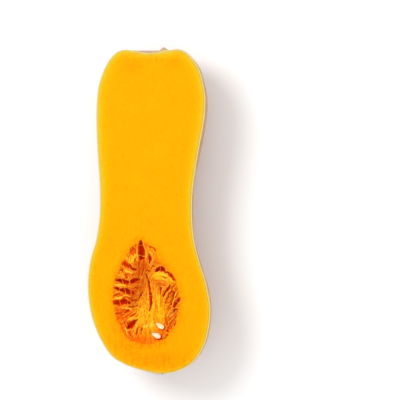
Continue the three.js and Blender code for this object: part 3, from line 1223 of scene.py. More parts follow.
    def face_fill(self, border: Rows, hole: Rows) -> Rows:
        """Points spread evenly over the cut face, off its edges and off the seed cavity.

        Args:
            border: The face's outer edge.
            hole: The cavity's edge.

        Returns:
            Rows of x and y.
        """
        step = self.face_step
        low, high = border.min(0), border.max(0)
        rows = np.arange(low[1], high[1], step * 0.87)
        x, y = np.meshgrid(np.arange(low[0], high[0], step), rows)
        x = x + np.where(np.arange(x.shape[0]) % 2, step / 2, 0.0)[:, None]
        x, y = x.ravel(), y.ravel()
        keep = inside(border, x, y) & ~inside(hole, x, y)
        x, y = x[keep], y[keep]
        clear = (distance_to(border, x, y) > step * 0.6) & (distance_to(hole, x, y) > step * 0.6)
        return np.column_stack([x, y])[clear]


# ---- the seed cavity


@dataclass(frozen=True)
class Tint:
    """A soft oval patch of one colour, in mm and degrees."""

    x: float
    y: float
    across: float
    along: float
    turn: float
    strength: float

    def amount(self, x: Rows, y: Rows) -> Rows:
        """The patch's strength at each point.

        Args:
            x: Across the fruit.
            y: Along the fruit.

        Returns:
            From 0 to the full strength.
        """
        turn = math.radians(self.turn)
        u = ((x - self.x) * math.cos(turn) + (y - self.y) * math.sin(turn)) / (self.across / 2)
        v = ((y - self.y) * math.cos(turn) - (x - self.x) * math.sin(turn)) / (self.along / 2)
        return self.strength * np.exp(-1.2 * (u * u + v * v))


@dataclass
class SeedCavity:
    """The hollow in the bulb: its edge in the cut face and its depth. Sizes are in mm."""

    stations: tuple[Station, ...] = each(
        Station,
        (21.5, -3, -3), (26, -18, 12.5), (33.5, -23.6, 18.8), (44, -28.3, 22.2), (57, -30, 24.6),
        (68, -29.2, 22.8), (79.5, -26, 17.6), (88, -21.4, 9.6), (97.5, -16.2, 4.2),
        (103, -10.4, -3.4), (104.6, -7, -7),
    )
    depth: float = 20.0
    near: float = 4.5
    warm: tuple[Tint, ...] = each(
        Tint,
        (-17, 18, 40, 18, -28, 0.75), (-3, 22.6, 42, 11, 4, 0.86), (-27, 33, 12, 26, 20, 0.4),
        (24, 42, 10, 26, -10, 0.5), (2, 10, 86, 22, 0, 0.75), (0, 66, 130, 130, 0, 0.16),
        (-13, 239.6, 21, 17, 10, 0.44), (2, 243, 26, 8, 0, 0.4), (18.4, 240.6, 14, 10, 0, 0.44),
    )

    def __post_init__(self) -> None:
        """Draw the edge."""
        self.edges = EdgePair(self.stations)
        self.line = self.edges.outline(FINE_LINE)

    def nearness(self, x: Rows, y: Rows) -> Rows:
        """How deep orange the flesh is: round the cavity and in patches at foot and stem.

        Args:
            x: Across the fruit.
            y: Along the fruit.

        Returns:
            From 0 to 1.
        """
        away = distance_to(self.line, x, y)
        away = np.where(inside(self.line, x, y), 0.0, away)
        halo = 0.4 * (1 - smoothstep(away, 0.0, self.near))
        patches = np.max([tint.amount(x, y) for tint in self.warm], axis=0)
        return np.clip(halo + patches, 0.0, 1.0)

    def bowl(self, hole: Rows, relief: Callable[[Rows, Rows], Rows]) -> Rows:
        """The cavity's wall: rings from its edge down to one point at the bottom.

        Args:
            hole: The edge's points.
            relief: The cut face's height at x and y.

        Returns:
            A grid of points whose columns close on themselves.
        """
        ring = np.concatenate([hole, hole[:1]])
        centre = ring[:-1].mean(0)
        rows = []
        for share in np.linspace(0.0, 1.0, 15):
            angle = share * math.pi / 2
            flat = centre + (ring - centre) * math.cos(angle) ** 0.75
            z = np.full(len(ring), -self.depth * math.sin(angle) ** 0.9)
            if share == 0:
                z = relief(flat[:, 0], flat[:, 1])
            rows.append(np.column_stack([flat, z]))
        return np.array(rows)


# ---- the pulp


def traced(points: tuple[tuple[float, ...], ...], steps: int = 40) -> tuple[Rows, Rows]:
    """A smooth line through a few points, and how far along it each of its steps is, 0 to 1.

    Args:
        points: The few points.
        steps: How many points the line gets.

    Returns:
        The line's points and the shares.
    """
    knots = np.array(points, float)
    place = np.linspace(0, len(knots) - 1, steps)
    first = np.minimum(place.astype(int), len(knots) - 2)
    w = (place - first)[:, None]
    start, end = knots[first], knots[first + 1]
    m1 = (end - knots[np.maximum(first - 1, 0)]) / 2
    m2 = (knots[np.minimum(first + 2, len(knots) - 1)] - start) / 2
    square = 3 * (end - start) - 2 * m1 - m2
    cube = 2 * (start - end) + m1 + m2
    return start + w * (m1 + w * (square + w * cube)), place / (len(knots) - 1)


def near_line(line: Rows, shares: Rows, x: Rows, y: Rows, margin: float) -> tuple[Rows, Rows]:
    """Distance to a line, and how far along it the nearest spot is.

    Args:
        line: The line's points.
        shares: How far along each of them is.
        x: Where to measure from.
        y: Where to measure from.
        margin: Beyond this distance the answer isn't wanted and is given as a large number.

    Returns:
        The distances and the shares.
    """
    away = np.full(np.shape(x), 1e6)
    along = np.zeros(np.shape(x))
    low, high = line[:, :2].min(0) - margin, line[:, :2].max(0) + margin
    near = (x > low[0]) & (x < high[0]) & (y > low[1]) & (y < high[1])
    px, py = x[near], y[near]
    best, where = np.full(px.shape, 1e6), np.zeros(px.shape)
    for point, share in zip(line, shares):
        gap = np.hypot(px - point[0], py - point[1])
        where = np.where(gap < best, share, where)
        best = np.minimum(best, gap)
    away[near], along[near] = best, where
    return away, along


def softened(height: Rows, radius: int) -> Rows:
    """A grid blurred over a radius given in cells.

    Args:
        height: The grid.
        radius: The blur in cells.

    Returns:
        The blurred grid.
    """
    blurred = height
    for _ in range(2):
        for axis in (0, 1):
            padding = [(0, 0), (0, 0)]
            padding[axis] = (radius + 1, radius)
            total = np.cumsum(np.pad(blurred, padding, mode="edge"), axis=axis)
            span = 2 * radius + 1
            ahead = np.take(total, np.arange(span, total.shape[axis]), axis=axis)
            behind = np.take(total, np.arange(0, total.shape[axis] - span), axis=axis)
            blurred = (ahead - behind) / span
    return blurred


@dataclass(frozen=True)
class Pocket:
    """A hollow that a seed came out of, along a line through (x, y, half width), in mm."""

    line: tuple[tuple[float, float, float], ...]
    depth: float
    # how red the walls are; above 1 a hole runs to near-black painted shade
    red: float = 1.0

    def reach(self, x: Rows, y: Rows) -> Rows:
        """0 on the hollow's line and 1 at its rim.

        Args:
            x: Across the fruit.
            y: Along the fruit.

        Returns:
            The shares, above 1 beyond the rim.
        """
        spine, shares = traced(self.line)
        widths = spine[:, 2]
        away, along = near_line(spine, shares, x, y, 2.5 * widths.max() + 1.0)
        return away / np.maximum(np.interp(along, shares, widths), 0.25)


@dataclass(frozen=True)
class Fibre:
    """A raised fibre of pulp through a few points, in mm."""

    points: tuple[tuple[float, float], ...]
    width: float
    height: float
    pale: float


@dataclass(frozen=True)
class GrainGuide:
    """Which way the pulp's fibres run round a point, in degrees from +X."""

    x: float
    y: float
    angle: float


@dataclass
class Pulp:
    """The wet, stringy filling of the seed cavity, as a relief with a closed underside."""

    body: SquashBody
    cavity: SeedCavity
    seeds: tuple[Seed, ...]
    step: float = 0.29
    lap: float = 1.6
    level: float = -0.35
    guide_reach: float = 5.5
    skirt: float = 1.4
    bowl_depth: float = 17.5
    bowl_rings: int = 9
    pockets: tuple[Pocket, ...] = each(
        Pocket,
        (((-7, 103.8, 0.6), (-7.3, 99, 2), (-7, 94.6, 2.8), (-6.7, 90.4, 2.5)), 8),
        (((-14.7, 99.1, 1.4), (-14.3, 95.7, 2.4), (-13.8, 92, 1.6)), 3.4, 0.55),
        (((-11.6, 95.8, 0.5), (-11.4, 93.2, 0.6)), 2.6, 0.9),
        (((0.3, 98.4, 0.6), (2.6, 97.2, 1.1), (4.4, 95.3, 0.6)), 3, 0.8),
        (((-0.7, 92.3, 1), (-0.3, 89.2, 1.6), (-0.9, 85.8, 0.9)), 4.5, 0.8),
        (((-24, 87.4, 1.4), (-19.5, 85.2, 2.4), (-15.2, 81.9, 1.6), (-11, 80.2, 0.8)), 5.5, 0.75),
        (((-24.3, 79.8, 0.5), (-22.4, 80.1, 0.9), (-21.2, 78.2, 0.5)), 2.4, 0.75),
        (((-19.2, 77.7, 0.5), (-18.9, 74.8, 1.2)), 2.6, 0.5),
        (((-27.8, 73.3, 0.7), (-24.3, 72.1, 1.6), (-19.6, 70.6, 2), (-15.7, 70.9, 1.7),
         (-12.2, 72.2, 1.9), (-9, 72.7, 0.9)), 7.5),
        (((-28.2, 66.5, 0.7), (-25.1, 65.2, 1.3), (-22, 64.4, 1.6), (-17.3, 63.3, 2),
         (-13.2, 62, 1.2)), 7.5),
        (((-28.8, 60.6, 0.35), (-24.8, 61.3, 0.5)), 1.6, 0.6),
        (((-29.2, 55.4, 1), (-25.1, 54.6, 2.3), (-20.4, 55.4, 2.6), (-16.5, 54.6, 1.5)), 7.5, 0.95),
        (((-16, 58.2, 0.9), (-12.2, 56.8, 1.3), (-9.8, 56.6, 0.6)), 4, 0.85),
        (((-15.9, 51.6, 0.6), (-12.2, 51.8, 0.8), (-9.6, 53.6, 0.4)), 3, 0.8),
        (((-12, 66.4, 0.6), (-9.2, 66, 0.8)), 2, 0.6),
        (((-5.4, 63.5, 0.4), (-7.4, 60.4, 0.7), (-9, 57.9, 0.5)), 2.6, 0.9),
        (((-26.2, 46.8, 1.2), (-22.6, 45.8, 1.5)), 1.2, 0.45),
        (((-20, 47, 0.9), (-17, 48.6, 1.1)), 4, 0.9),
        (((-15.3, 44, 0.7), (-11.4, 46.3, 0.8)), 3, 0.8),
        (((-17.5, 35.4, 1.5), (-15.2, 37.6, 3), (-12.8, 39.8, 2.2), (-10.7, 41.6, 0.7)), 7, 0.95),
        (((-9.6, 35.8, 0.5), (-9.9, 33.2, 0.9), (-10.5, 30.2, 0.6)), 2.2, 0.7),
        (((-6.2, 35.2, 0.4), (-6.8, 31.2, 0.7)), 1.8, 0.6),
        (((-15.8, 32.6, 0.4), (-15.4, 29.6, 0.5)), 1.4, 0.45),
        (((-20.4, 40.6, 0.4), (-18.9, 36.6, 0.6)), 1.6, 0.45),
        (((-1.6, 80.2, 0.7), (-0.5, 78.8, 0.6)), 2.6, 0.8),
        (((-3.1, 77, 0.35), (-1.7, 73, 0.7), (-0.6, 69.4, 0.9), (0, 64, 1.1), (0.3, 59, 1.4),
         (0.3, 54, 1.3), (-0.1, 48.4, 0.45)), 4.6, 0.85),
        (((1.2, 82.3, 0.5), (2.4, 83.2, 0.7), (3.2, 82.2, 0.5)), 2.2, 0.75),
        (((4.8, 79.3, 1.1), (6.6, 80.6, 1.7), (9.4, 80.9, 2), (11.2, 79.3, 1)), 7),
        (((11.4, 78.1, 0.6), (13.8, 78.2, 1.1), (15.9, 76.4, 1.7), (17.4, 74.3, 1.6),
         (19.9, 71.8, 0.5)), 5, 0.95),
        (((9, 74.6, 0.35), (12.8, 74.3, 0.5)), 2, 0.5),
        (((9.8, 71.6, 0.5), (13.1, 70.8, 0.6)), 2, 0.5),
        (((8.2, 67.6, 0.5), (8.7, 64.6, 0.9), (8.2, 61.8, 0.5)), 3.4, 0.75),
        (((15.4, 67.8, 0.7), (13, 64.6, 1.3), (10.4, 60, 0.7)), 5, 0.9),
        (((18.4, 69, 0.4), (16.4, 66.6, 0.5)), 1.8, 0.5),
        (((12.4, 55, 0.6), (13.5, 59.6, 0.9), (16, 63.2, 1), (18.6, 62.8, 0.8), (18.3, 59.2, 0.6),
         (15.8, 53.8, 0.8)), 3.6, 0.85),
        (((18.4, 52.2, 1.1), (20.6, 55.2, 1.9), (23.3, 58.6, 1.2)), 5.5, 0.85),
        (((18.6, 49.2, 1.1), (20.1, 49.6, 1.2)), 3.8, 2),
        (((18.9, 42.6, 0.6), (16.8, 40.8, 0.8), (14.6, 38.8, 0.5)), 2.6, 0.75),
        (((20.6, 41.2, 0.6), (19.9, 39.2, 0.8), (18.7, 37.2, 0.5)), 2.6, 0.85),
        (((15.6, 42.6, 0.5), (13.3, 40, 0.5)), 2, 0.6),
        (((12, 45.6, 0.5), (12.5, 42, 0.9), (13.4, 38, 0.6)), 2.2, 0.6),
        (((12.6, 33, 0.8), (13.9, 32.5, 0.9)), 3, 0.9),
        (((13.6, 30.6, 0.4), (11.8, 27.6, 0.6), (8.4, 26.4, 0.5)), 1.6, 0.55),
    )
    fibres: tuple[Fibre, ...] = each(
        Fibre,
        (((-28.8, 68.8), (-24, 68.2), (-18, 67.5)), 2, 0.7, 0.95),
        (((-19.6, 67.6), (-15, 67.2), (-10.6, 68.2)), 1.1, 0.5, 0.4),
        (((-29.4, 59.2), (-25, 58.4), (-21, 59.3)), 1.8, 0.7, 0.9),
        (((-22.6, 60.2), (-18.4, 60.6), (-13.4, 59.6)), 1.3, 0.6, 0.5),
        (((-27, 76.2), (-22, 75), (-19.6, 74.4)), 1.8, 0.6, 0.6),
        (((-20.6, 81.6), (-17, 79), (-13, 77)), 1.8, 0.6, 0.6),
        (((-10.9, 92.8), (-13.4, 88.2), (-16.2, 85.4)), 1.6, 0.6, 0.7),
        (((-20.4, 91), (-17.6, 89.2), (-14.6, 88.2)), 1.3, 0.6, 0.9),
        (((-10, 97), (-10, 91), (-9.6, 86.4)), 1.1, 0.6, 0.5),
        (((-3.5, 97.6), (-3.2, 91), (-3.4, 85)), 1.3, 0.6, 0.5),
        (((-1.4, 88), (-1.2, 84.6), (0.4, 81.6)), 0.8, 0.5, 0.7),
        (((4.4, 77.2), (9.6, 76.6), (14.6, 75.4), (19, 70.4)), 1.8, 0.8, 0.8),
        (((3, 73.6), (8, 74.2), (13.4, 72.6)), 1.6, 0.6, 0.5),
        (((10, 75.2), (13, 75.6), (15.2, 75)), 0.9, 0.5, 0.9),
        (((-1.6, 66.4), (-1.5, 59), (-1.5, 53)), 0.8, 0.6, 0.85),
        (((-19, 41.4), (-15.2, 42.8), (-11.2, 43.6)), 1.2, 0.7, 0.5),
        (((-6.2, 36.4), (-1.1, 37.6), (3.4, 39)), 3, 0.4, 1.3),
        (((8.4, 72.8), (12.5, 73.1), (16.6, 71.8), (19.8, 70.4)), 1.3, 0.5, 0.6),
        (((-19.6, 36), (-18.2, 32), (-17.4, 28.6)), 1.2, 0.4, 0.5),
        (((-13.8, 33.2), (-13.2, 30.2), (-12.8, 27.8)), 1.1, 0.4, 0.6),
        (((-10.8, 41.2), (-11.2, 37), (-12, 31.4)), 1.1, 0.5, 0.55),
        (((11.9, 58.4), (14.4, 62.6), (17.2, 65.6)), 0.9, 0.6, 0.5),
        (((20.4, 63), (18.6, 57.4), (16.6, 52)), 0.9, 0.6, 0.6),
        (((17.6, 52.4), (15.2, 48.2), (13.2, 44.2)), 1.1, 0.5, 0.5),
        (((21.2, 50.8), (23.6, 51.6)), 0.8, 0.5, 0.6),
        (((19.4, 44.4), (16.6, 41.9), (13.8, 39.4)), 0.8, 0.5, 0.55),
        (((-13, 52.6), (-9, 50.8), (-7.4, 47.6)), 1.2, 0.5, 0.6),
        (((-21, 50.8), (-16.6, 49.8), (-12.6, 48.6)), 1.6, 0.6, 0.5),
        (((-6, 60), (-6.8, 52), (-5, 42), (-4, 36)), 1.5, 0.4, 0.45),
        (((4.6, 66), (6, 56), (6.4, 46)), 1.7, 0.4, 0.4),
    )
    grain: tuple[GrainGuide, ...] = each(
        GrainGuide,
        (-6, 97, 90), (-15, 93, 70), (2, 92, 110), (-20, 84, -35), (-5, 82, 80), (-20, 74, -6),
        (-21, 62, -4), (-20, 53, 4), (-19, 42, 26), (-13, 31, 55), (-3, 27, 88), (0, 60, 88),
        (-7, 52, 58), (-4, 44, 62), (5, 48, 105), (8, 30, 140), (16, 39, 52), (20, 50, 50),
        (17, 62, 58), (12, 74, -12), (10, 83, 30),
    )
    shallow: float = 0.62
    widen: float = 1.18
    calm: tuple[Tint, ...] = each(
        Tint,
        (6.4, 91, 8, 12, 40, 1), (17, 81, 8, 8, 0, 1), (24.4, 66, 5, 12, 0, 0.9),
        (-22, 91, 7, 8, 0, 0.9), (-28.6, 80, 4, 10, 0, 0.8), (18, 33, 8, 10, 0, 0.5),
    )
    smooth: tuple[Tint, ...] = each(
        Tint,
        (-4, 26.4, 40, 13, 6, 1), (-21, 34, 12, 20, 35, 1), (-25, 44.6, 12, 14, 20, 0.9),
    )
    recess: tuple[Tint, ...] = each(
        Tint,
        (-19.5, 66, 22, 34, 0, 1.3), (-18, 46, 18, 14, 20, 0.9), (17, 56, 14, 34, -10, 1.1),
        (-7, 90, 18, 16, 0, 0.8), (10, 79, 16, 6, -10, 0.8), (14, 36, 12, 12, 0, 0.7),
    )
    dusk: tuple[Tint, ...] = each(
        Tint,
        (-6.6, 80, 14, 22, 0, 1.2), (-9, 69, 13, 26, 0, 1.15), (-12.6, 61, 16, 24, 0, 1.1),
        (-18, 59, 18, 24, 0, 0.4), (17, 41, 8, 16, -30, 0.5), (-14, 52, 10, 10, 0, 0.6),
        (-3, 72, 7, 18, 0, 0.8), (16.4, 60, 9, 14, -20, 0.6), (21, 48.6, 9, 9, -30, 0.7),
    )
    blush: tuple[Tint, ...] = each(
        Tint,
        (-4, 27.6, 34, 11, 6, 1), (-19, 36, 12, 20, 35, 0.75), (-20.5, 85, 12, 8, -30, 0.7),
        (-6.4, 89, 10, 14, 0, 1), (-19, 66, 26, 34, 0, 1), (-21, 47, 18, 14, 12, 0.85),
        (13, 66, 14, 16, 50, 0.6), (18, 54, 14, 18, -20, 0.7), (16, 40, 12, 18, -30, 1.1),
        (6, 66, 8, 8, 0, 0.5), (9.6, 31, 14, 10, -30, 0.8), (8, 79.4, 9, 8, 0, 0.9),
        (-6.4, 32.8, 9, 8, 0, 0.7),
    )
    scorch: tuple[Tint, ...] = each(
        Tint,
        (-12, 68.4, 8, 13, 0, 0.8), (-13.8, 62.6, 8, 8, 0, 0.85), (-13.6, 56, 7, 6, 0, 0.6),
        (21.4, 49.6, 4.4, 4.6, -30, 0.8), (-9, 75.6, 6, 8, -30, 0.6), (17.2, 63, 4, 6, -30, 0.7),
        (-24.2, 46.4, 8, 5, 0, 0.7), (7, 69, 5.6, 9, 0, 0.9), (-17.8, 28.6, 2.6, 6, 0, 0.6),
    )
    glow: tuple[Tint, ...] = each(
        Tint,
        (-1.4, 38.4, 9, 7, 0, 1.3), (-4.6, 46, 14, 21, 0, 1.2), (7.2, 48, 12, 21, 0, 1.2),
        (0.6, 45, 21, 34, 0, 1), (1, 36.4, 17, 9, 0, 1), (7.6, 75.6, 14, 9, -12, 1),
        (14, 73, 12, 7, -30, 0.9), (6.6, 58, 9, 22, 10, 0.8), (1.8, 93.8, 8, 6, -30, 1),
        (-14.6, 88.6, 10, 6, 50, 0.9), (-21, 78.4, 8, 4, 0, 0.7),
    )

    def __post_init__(self) -> None:
        """Set up the noise and the grid."""
        self.rough = Lattice(53)
        self.warp = Lattice(61)
        low = self.cavity.line.min(0) - self.lap - self.step
        high = self.cavity.line.max(0) + self.lap + self.step
        self.xs = np.arange(low[0], high[0], self.step)
        self.ys = np.arange(low[1], high[1], self.step)
        self.x, self.y = np.meshgrid(self.xs, self.ys)
        away = distance_to(self.cavity.line, self.x, self.y)
        within = inside(self.cavity.line, self.x, self.y)
        self.inward = np.where(within, away, -away)

    def cell(self, x: Rows, y: Rows) -> tuple[Rows, Rows]:
        """The grid's row and column at points.

        Args:
            x: Across the fruit.
            y: Along the fruit.

        Returns:
            Rows and columns.
        """
        column = np.clip(((x - self.xs[0]) / self.step).astype(int), 0, len(self.xs) - 1)
        row = np.clip(((y - self.ys[0]) / self.step).astype(int), 0, len(self.ys) - 1)
        return row, column

    def grain_angle(self, x: Rows, y: Rows) -> Rows:
        """The way of the fibres, in radians, blended from the guides.

        Args:
            x: Across the fruit.
            y: Along the fruit.

        Returns:
            The angles.
        """
        total = np.zeros((2, *np.shape(x)))
        for guide in self.grain:
            square = (x - guide.x) ** 2 + (y - guide.y) ** 2
            weight = np.exp(-square / (2 * self.guide_reach**2)) + 1e-9
            double = math.radians(2 * guide.angle)
            total[0] += weight * math.cos(double)
            total[1] += weight * math.sin(double)
        return np.arctan2(total[1], total[0]) / 2

    def brushed(self, wavelength: float, length: float, seed: int) -> Rows:
        """Noise smeared along the fibres, on the grid, about 0 with a spread of 1.

        Args:
            wavelength: How far apart neighbouring fibres are, in mm.
            length: How far each is smeared, in mm.
            seed: Which noise.

        Returns:
            The smeared noise.
        """
        noise = Lattice(seed)
        angle = self.grain_angle(self.x, self.y)
        cos, sin = np.cos(angle), np.sin(angle)
        total = np.zeros_like(self.x)
        hop = wavelength / 2
        hops = int(length / 2 / hop)
        for way in (-1, 1):
            px, py = self.x, self.y
            dx, dy = way * cos, way * sin
            for number in range(hops):
                fade = 1 - number / hops
                total += noise.at(px / hop, py / hop) * fade
                px, py = px + dx * hop, py + dy * hop
                spot = self.cell(px, py)
                nx, ny = cos[spot], sin[spot]
                flip = np.where(nx * dx + ny * dy < 0, -1.0, 1.0)
                dx, dy = nx * flip, ny * flip
        return (total - total.mean()) / total.std()

    def tinted(self, tints: tuple[Tint, ...], x: Rows, y: Rows) -> Rows:
        """The strongest of some patches at each point."""
        return np.max([tint.amount(x, y) for tint in tints], axis=0)

    def hollowed(self, x: Rows, y: Rows) -> tuple[Rows, Rows, Rows]:
        """How deep the pockets are at each point, how red, and how flushed round them.

        Args:
            x: Across the fruit.
            y: Along the fruit.

        Returns:
            The depth in mm, and two shares.
        """
        drop, red, flush = np.zeros_like(x), np.zeros_like(x), np.zeros_like(x)
        for pocket in self.pockets:
            reach = pocket.reach(x, y) / self.widen
            drop = np.maximum(drop, pocket.depth * (1 - smoothstep(reach, 0.1, 1.08)))
            red = np.maximum(red, pocket.red * (1 - smoothstep(reach, 0.55, 1.3)))
            flush = np.maximum(flush, pocket.red * (1 - smoothstep(reach, 0.9, 2.1)))
        return drop, red, flush

    def strung(self, x: Rows, y: Rows) -> tuple[Rows, Rows]:
        """How far the fibres stand up at each point, and how pale they are.

        Args:
            x: Across the fruit.
            y: Along the fruit.

        Returns:
            The rise in mm, and a share.
        """
        rise, pale = np.zeros_like(x), np.zeros_like(x)
        for fibre in self.fibres:
            line, shares = traced(fibre.points)
            away, along = near_line(line, shares, x, y, 2 * fibre.width)
            taper = 0.15 + 0.85 * np.sin(math.pi * np.clip(along, 0, 1)) ** 0.7
            edge = np.exp(-((away / (fibre.width / 2 * taper)) ** 2))
            edge *= smoothstep(along, 0.0, 0.25) * (1 - smoothstep(along, 0.75, 1.0))
            rise = np.maximum(rise, fibre.height * edge)
            pale = np.maximum(pale, fibre.pale * edge)
        return rise, pale

    def relief(self) -> dict[str, Rows]:
        """The pulp's height and the colour values at each point of the grid.

        Returns:
            A grid for each value by name, with the height, and keep for the points that count.
        """
        x, y = self.x, self.y
        wx = x + 0.7 * self.warp.layered(x / 2.6, y / 2.6, layers=3)
        wy = y + 0.7 * self.warp.layered(x / 2.6 + 31, y / 2.6, layers=3)
        even = 1 - 0.5 * self.tinted(self.smooth, x, y)
        fine = even * self.brushed(0.85, 7.0, 71)
        coarse = even * self.brushed(2.4, 13.0, 83)
        drop, red, flush = self.hollowed(wx, wy)
        drop *= self.shallow
        rise, pale = self.strung(wx, wy)
        settle = 0.3 * self.rough.layered(x / 6, y / 6, layers=3)
        lumps = 0.35 * self.rough.layered(x / 1.7, y / 1.7, 8.0, layers=3)
        low = self.tinted(self.recess, x, y)
        height = self.level - low + settle + lumps * (0.35 + low)
        height += 0.16 * fine + 0.30 * coarse * (0.6 + 0.6 * low)
        height -= drop * (1 - 0.7 * pale)
        height += rise * (0.6 + 0.8 * low)
        height += np.clip(drop, 0, 1.5) * (0.22 * coarse + 0.16 * fine)
        height = np.minimum(height, -0.08 + 0.05 * fine)
        floor = np.where(self.inward > 0, np.minimum(0.5 + 1.6 * self.inward, 13.0), 0.5)
        height = np.maximum(height, -floor)
        # Against a blurred copy of the relief, crests are painted lighter as painted highlight and
        # dips darker as painted shade.
        around = softened(height, 4)
        crest = np.clip((height - around) / 0.5, 0, 1)
        dip = np.clip((around - height) / 0.6, 0, 1)
        # pit: the pockets' red, partly their own colour, plus painted shade that grows with depth;
        # holes whose red is above 1 run to near-black painted shade.
        depth = smoothstep(-height - 0.6 * low, 0.5, 4.2)
        pit = np.maximum(red * smoothstep(drop, 0.1, 3.4), 0.9 * depth)
        pit *= 0.45 + 0.55 * smoothstep(self.inward, 0.5, 6.0)
        most = np.clip(0.8 * red, 0.8, 1.0)
        pit = np.clip(0.8 * pit * (1 + 0.16 * coarse + 0.13 * fine), 0.0, most)
        pit *= 1 - 0.8 * pale
        shade = np.clip(self.tinted(self.dusk, wx, wy), 0, 1)
        # glint: painted highlights on the crests, weaker in the brown zones; added to the pale
        # fibres.
        glint = (0.45 * crest + 0.06 * fine) * (1 - 0.8 * shade)
        pale_string_and_highlight = np.clip(pale * 0.95 + glint, 0, 1) * (1 - 0.75 * pit)
        signed = self.inward + 0.7 * self.warp.layered(x / 2.2, y / 2.2, layers=3)
        fade = smoothstep(signed, 0.2, 2.8) * (1 - 0.9 * self.tinted(self.calm, wx, wy))
        fade = np.maximum(fade, np.clip(red * 1.2, 0, 1) * smoothstep(signed, 0.1, 1.0))
        # dip: painted shade in the valleys, with the scorch patches' reddish-brown smears.
        dip = np.clip(np.maximum(dip, self.tinted(self.scorch, wx, wy) * (1 + 0.2 * coarse)), 0, 1)
        values = {"pit": pit, "pale_string_and_highlight": pale_string_and_highlight, "dip": dip * (1 - pit), "inner": np.ones_like(x)}
        for name, tints in (("dusk", self.dusk), ("blush", self.blush), ("glow", self.glow)):
            amount = self.tinted(tints, wx, wy)
            values[name] = np.clip(amount * (1 - 0.12 * fine + 0.12 * coarse), 0, 1)
        values["blush"] = np.maximum(values["blush"], 0.8 * np.clip(flush, 0, 1))
        values = {name: value * fade for name, value in values.items()}
        face = self.body.cut_relief(x, y)
        border = smoothstep(signed, 0.0, 2.4)
        outward = np.maximum(-self.inward, 0.0)
        height = face + 0.02 - 0.1 * outward**2 + height * border
        for seed in self.seeds:
            # Each seed's gap is painted dark as shadow through the pit value.
            height, gap = seed.bed(x, y, height, 0.55 * (wx - x))
            values["pit"] = np.maximum(values["pit"], gap)
        values["height"] = height
        values["keep"] = self.inward > -self.lap
        return values

    def build(self, placing: Placing) -> Piece:
        """The pulp as one closed mesh.

        Args:
            placing: The fruit's place in the frame.

        Returns:
            The pulp.
        """
        made = self.relief()
        self.surface = made["height"]
        keep = made.pop("keep")
        points = np.stack([self.x, self.y, made.pop("height")], -1)
        rim = distance_to(self.body.edges.outline(ROUGH_LINE), self.x, self.y)
        core = self.cavity.nearness(self.x, self.y)
        draft = MeshDraft()
        index = draft.add(points, rim=rim, core=core, **made)
        draft.sheet(index, keep)
        piece = draft.mesh("pulp", placing)
        self.close_underside(piece, placing)
        return piece

    def close_underside(self, piece: Piece, placing: Placing) -> None:
        """Draw the pulp's open edge down and together into a bowl that fits the cavity.

        Args:
            piece: The pulp's open sheet.
            placing: The fruit's place in the frame.
        """
        centre = placing.metres(np.array([*self.cavity.line.mean(0), 0.0]))
        work = bmesh.new()
        work.from_mesh(piece.data)
        loose = [v for v in work.verts if not v.link_faces]
        bmesh.ops.delete(work, geom=loose, context="VERTS")
        edges = [edge for edge in work.edges if len(edge.link_faces) == 1]
        top = centre[2]
        first = {v: (v.co.x, v.co.y, v.co.z) for edge in edges for v in edge.verts}
        for number in range(1, self.bowl_rings + 1):
            made = bmesh.ops.extrude_edge_only(work, edges=edges)["geom"]
            fresh = [v for v in made if isinstance(v, bmesh.types.BMVert)]
            edges = [e for e in made if isinstance(e, bmesh.types.BMEdge)]
            angle = number / self.bowl_rings * math.pi / 2
            shrink = math.cos(angle) ** 0.8 * 0.96
            for v in fresh:
                source = min(
                    (w for e in v.link_edges for w in e.verts if w in first and w is not v),
                    key=lambda w: (w.co - v.co).length,
                )
                fx, fy, _ = first[v] = first[source]
                v.co.x = centre[0] + (fx - centre[0]) * shrink
                v.co.y = centre[1] + (fy - centre[1]) * shrink
                v.co.z = top - (self.skirt + self.bowl_depth * math.sin(angle)) * MM
        seal(work, piece.data, WELD / 20)


# ---- the strands


@dataclass(frozen=True)
class Strand:
    """One strand of pulp that stands free: two ends, a thickness, a sag and a bow, in mm."""

    start: tuple[float, float]
    end: tuple[float, float]
    thick: float
    sag: float
    bow: float


